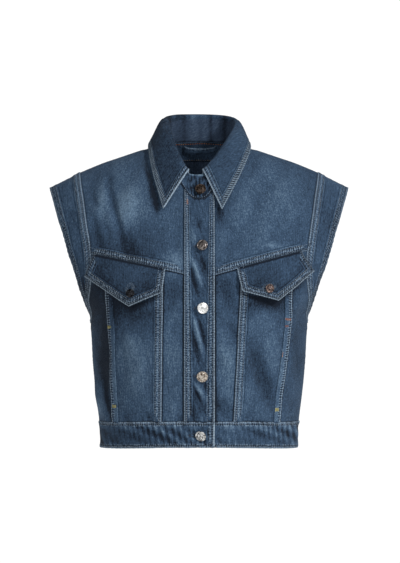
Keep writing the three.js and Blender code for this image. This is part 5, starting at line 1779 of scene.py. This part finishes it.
stitch("stitching_tonal", seam_rows(), blue_thread, STITCH["pitch"], plain_stitch)

stitch("stitching_tan", [inset("neck_facing", "foot", 3.0)], tan_thread, STITCH["pitch"], plain_stitch)
stitch("stitching_neck", [inset("neck_facing", "head", 1.6)], orange_thread, STITCH["pitch"], plain_stitch)


# Bar tacks: the piece, where on it, how its bar turns, how long and wide it is, and its thread
TACKS = (
    ("pocket_welt_right", -142.0, -284.0, 0, 8.0, 3.6, "yellow"),
    ("pocket_welt_right", -133.0, -408.5, 0, 7.0, 4.2, "yellow"),
    ("pocket_welt_left", 140.0, -272.0, 0, 9.0, 2.6, "orange"),
    ("pocket_welt_left", 137.5, -283.0, 0, 6.0, 2.2, "orange"),
    ("pocket_welt_left", 130.0, -327.0, 90, 8.0, 1.4, "orange"),
    ("pocket_welt_left", 121.0, -414.0, 0, 8.0, 5.0, "yellow"),
    ("placket", -18.0, -88.0, 90, 8.0, 1.8, "orange"),
)
TACK_PITCH = 0.6
for colour, thread in (("yellow", yellow_thread), ("orange", orange_thread)):
    bars = [line for *tack, name in TACKS if name == colour for line in bar_tack(*tack)]
    stitch("bar_tacks_" + colour, bars, thread, TACK_PITCH, hole_stitch)


def turned_button(name, size, node, nod, turn, metal, slot):
    """A tack button turned on its own axis: a stem, a notched rim, a groove and a low dome."""
    low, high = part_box(name)
    middle = np.array((low + high) / 2) / MM
    _, out = on_piece(node, middle[0], middle[2])
    axis = Vector(out[0])
    turned = Vector((0, 0, 1)).rotation_difference(axis)
    turned = turned @ Quaternion((1, 0, 0), math.radians(nod)) @ Quaternion((0, 1, 0), math.radians(turn))
    r, h = size["radius"], size["tall"]
    profile = [
        (0.37, 0.0),
        (0.37, 0.44),
        (0.88, 0.46),
        (0.95, 0.49),
        (0.99, 0.56),
        (1.0, 0.64),
        (0.97, 0.72),
        (0.91, 0.77),
        (0.85, 0.77),
        (0.8, 0.72),
        (0.76, 0.67),
        (0.71, 0.68),
        (0.66, 0.76),
        (0.55, 0.85),
        (0.4, 0.93),
        (0.22, 0.98),
        (0.08, 1.0),
    ]
    around, points = 64, []
    for share, tall in profile:
        for a in range(around):
            angle = 2 * math.pi * a / around
            notch = 0.012 * math.cos(16 * angle) if 0.8 < share < 0.98 and tall > 0.7 else 0
            points.append((share * r * math.cos(angle), share * r * math.sin(angle), (tall + notch) * h))
    faces = ring_faces(len(profile), around)
    centre = Vector(middle) - turned @ Vector((0, 0, h / 2))
    mesh = bpy.data.meshes.new("turned_" + name)
    mesh.from_pydata([(turned @ Vector(p) + centre) * MM for p in points], [], faces)
    mesh.polygons.foreach_set("use_smooth", [True] * len(faces))
    mesh.materials.append(metal)
    piece = in_scene("turned_" + name, mesh)
    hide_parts(name)
    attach(piece, "root")


# Buttons: the solid, its size, the piece below it, its nod and turn, its metal and its slot
BUTTONS = (
    ("button_1", BUTTON, "collar_stand", 2, 4, bronze, "front_button"),
    ("button_2", BUTTON, "placket", -4, -7, pewter, "front_button"),
    ("button_3", BUTTON, "placket", 3, 9, silver, "front_button"),
    ("button_4", BUTTON, "placket", 6, -5, brass, "front_button"),
    ("button_5", BUTTON, "waistband_front_right", 12, -14, dull_silver, "front_button"),
    ("flap_button_right", FLAP_BUTTON, "flap_right", 0, 0, gunmetal, "flap_button"),
    ("flap_button_left", FLAP_BUTTON, "flap_left", 0, 0, copper, "flap_button"),
)
for each in BUTTONS:
    turned_button(*each)

# Buttonholes: the piece, where on it, how its slit turns, how long it is and how wide its eye
HOLES = (
    ("waistband_front_right", -7, -452.5, 0, 16, 2.4),
    ("placket", 3, -158, 0, 20, 2.0),
    ("placket", 3, -254, 0, 20, 2.0),
    ("placket", 3, -359.5, 0, 20, 2.0),
)
FLAP_HOLES = (
    ("flap_right", -107, -226, 80, 20, 4.4),
    ("flap_left", 108.5, -222.5, 12, 20, 4.4),
)
HOLE_PITCH = {"front": 0.55, "flap": 0.9}
holes = [line for hole in HOLES for line in buttonhole(*hole)]
stitch("buttonholes", holes, navy_thread, HOLE_PITCH["front"], hole_stitch)
flap_holes = [line for hole in FLAP_HOLES for line in buttonhole(*hole)]
stitch("flap_buttonholes", flap_holes, blue_thread, HOLE_PITCH["flap"], hole_stitch)

for shape in (plain_stitch, hole_stitch):
    bpy.data.objects.remove(shape)


def set_camera():
    """A camera square to the front, framed as the photo is."""
    data = bpy.data.cameras.new("camera")
    data.sensor_width = 36
    data.lens = data.sensor_width * CAMERA_AWAY / (FRAME_HIGH * PIXEL_MM)
    data.clip_end = 30
    camera = in_scene("camera", data)
    camera.location = (CAMERA_X * MM, -CAMERA_AWAY * MM, CAMERA_Z * MM)
    camera.rotation_euler = (math.pi / 2, 0, 0)
    bpy.context.scene.camera = camera


def soft_light(name, place, size, watts, colour="#ffffff"):
    """A large soft lamp that faces the middle of the jacket."""
    data = bpy.data.lights.new(name, "AREA")
    data.size = size
    data.energy = watts
    data.color = linear(colour)[:3]
    lamp = in_scene(name, data)
    lamp.location = place
    lamp.rotation_euler = (Vector((0, 0, -0.22)) - Vector(place)).to_track_quat("-Z", "Y").to_euler()


def set_floor():
    """A plain pale floor, where a wearer would stand."""
    around, radius = 96, 5.0
    turns = [2 * math.pi * a / around for a in range(around)]
    ring = [(radius * math.cos(turn), radius * math.sin(turn), FLOOR_Z * MM) for turn in turns]
    mesh = bpy.data.meshes.new("floor")
    mesh.from_pydata(ring, [], [tuple(range(around))])
    glow = {"Emission_Color": (1, 1, 1, 1), "Emission_Strength": 0.35}
    material, add, join = finish("pale_floor", Roughness=0.9, **glow)
    place = add("TexCoord", out=3)
    join(mixed(add, spots(add, place, 300, 300), linear("#f1f1f0"), linear("#ececeb")), "Base Color")
    mesh.materials.append(material)
    floor = in_scene("floor", mesh)


def set_studio():
    """White behind the jacket, and a dimmer even light all round it."""
    world = bpy.data.worlds.new("studio")
    bpy.context.scene.world = world
    world.use_nodes = True
    tree = world.node_tree
    backdrop = tree.nodes["Background"]
    backdrop.inputs["Color"].default_value = (1, 1, 1, 1)
    path = tree.nodes.new("ShaderNodeLightPath")
    strength = tree.nodes.new("ShaderNodeMix")
    strength.inputs["A"].default_value = 0.2
    strength.inputs["B"].default_value = 1.05
    tree.links.new(path.outputs["Is Camera Ray"], strength.inputs["Factor"])
    tree.links.new(strength.outputs["Result"], backdrop.inputs["Strength"])
    bpy.context.scene.view_settings.view_transform = "Standard"


set_camera()
set_floor()
set_studio()
soft_light("key", (2.2, -2.1, 1.5), 0.5, 96)
soft_light("fill", (-1.2, -3.0, 0.5), 1.8, 24)
soft_light("behind", (0.4, 3.0, 0.1), 1.8, 20)
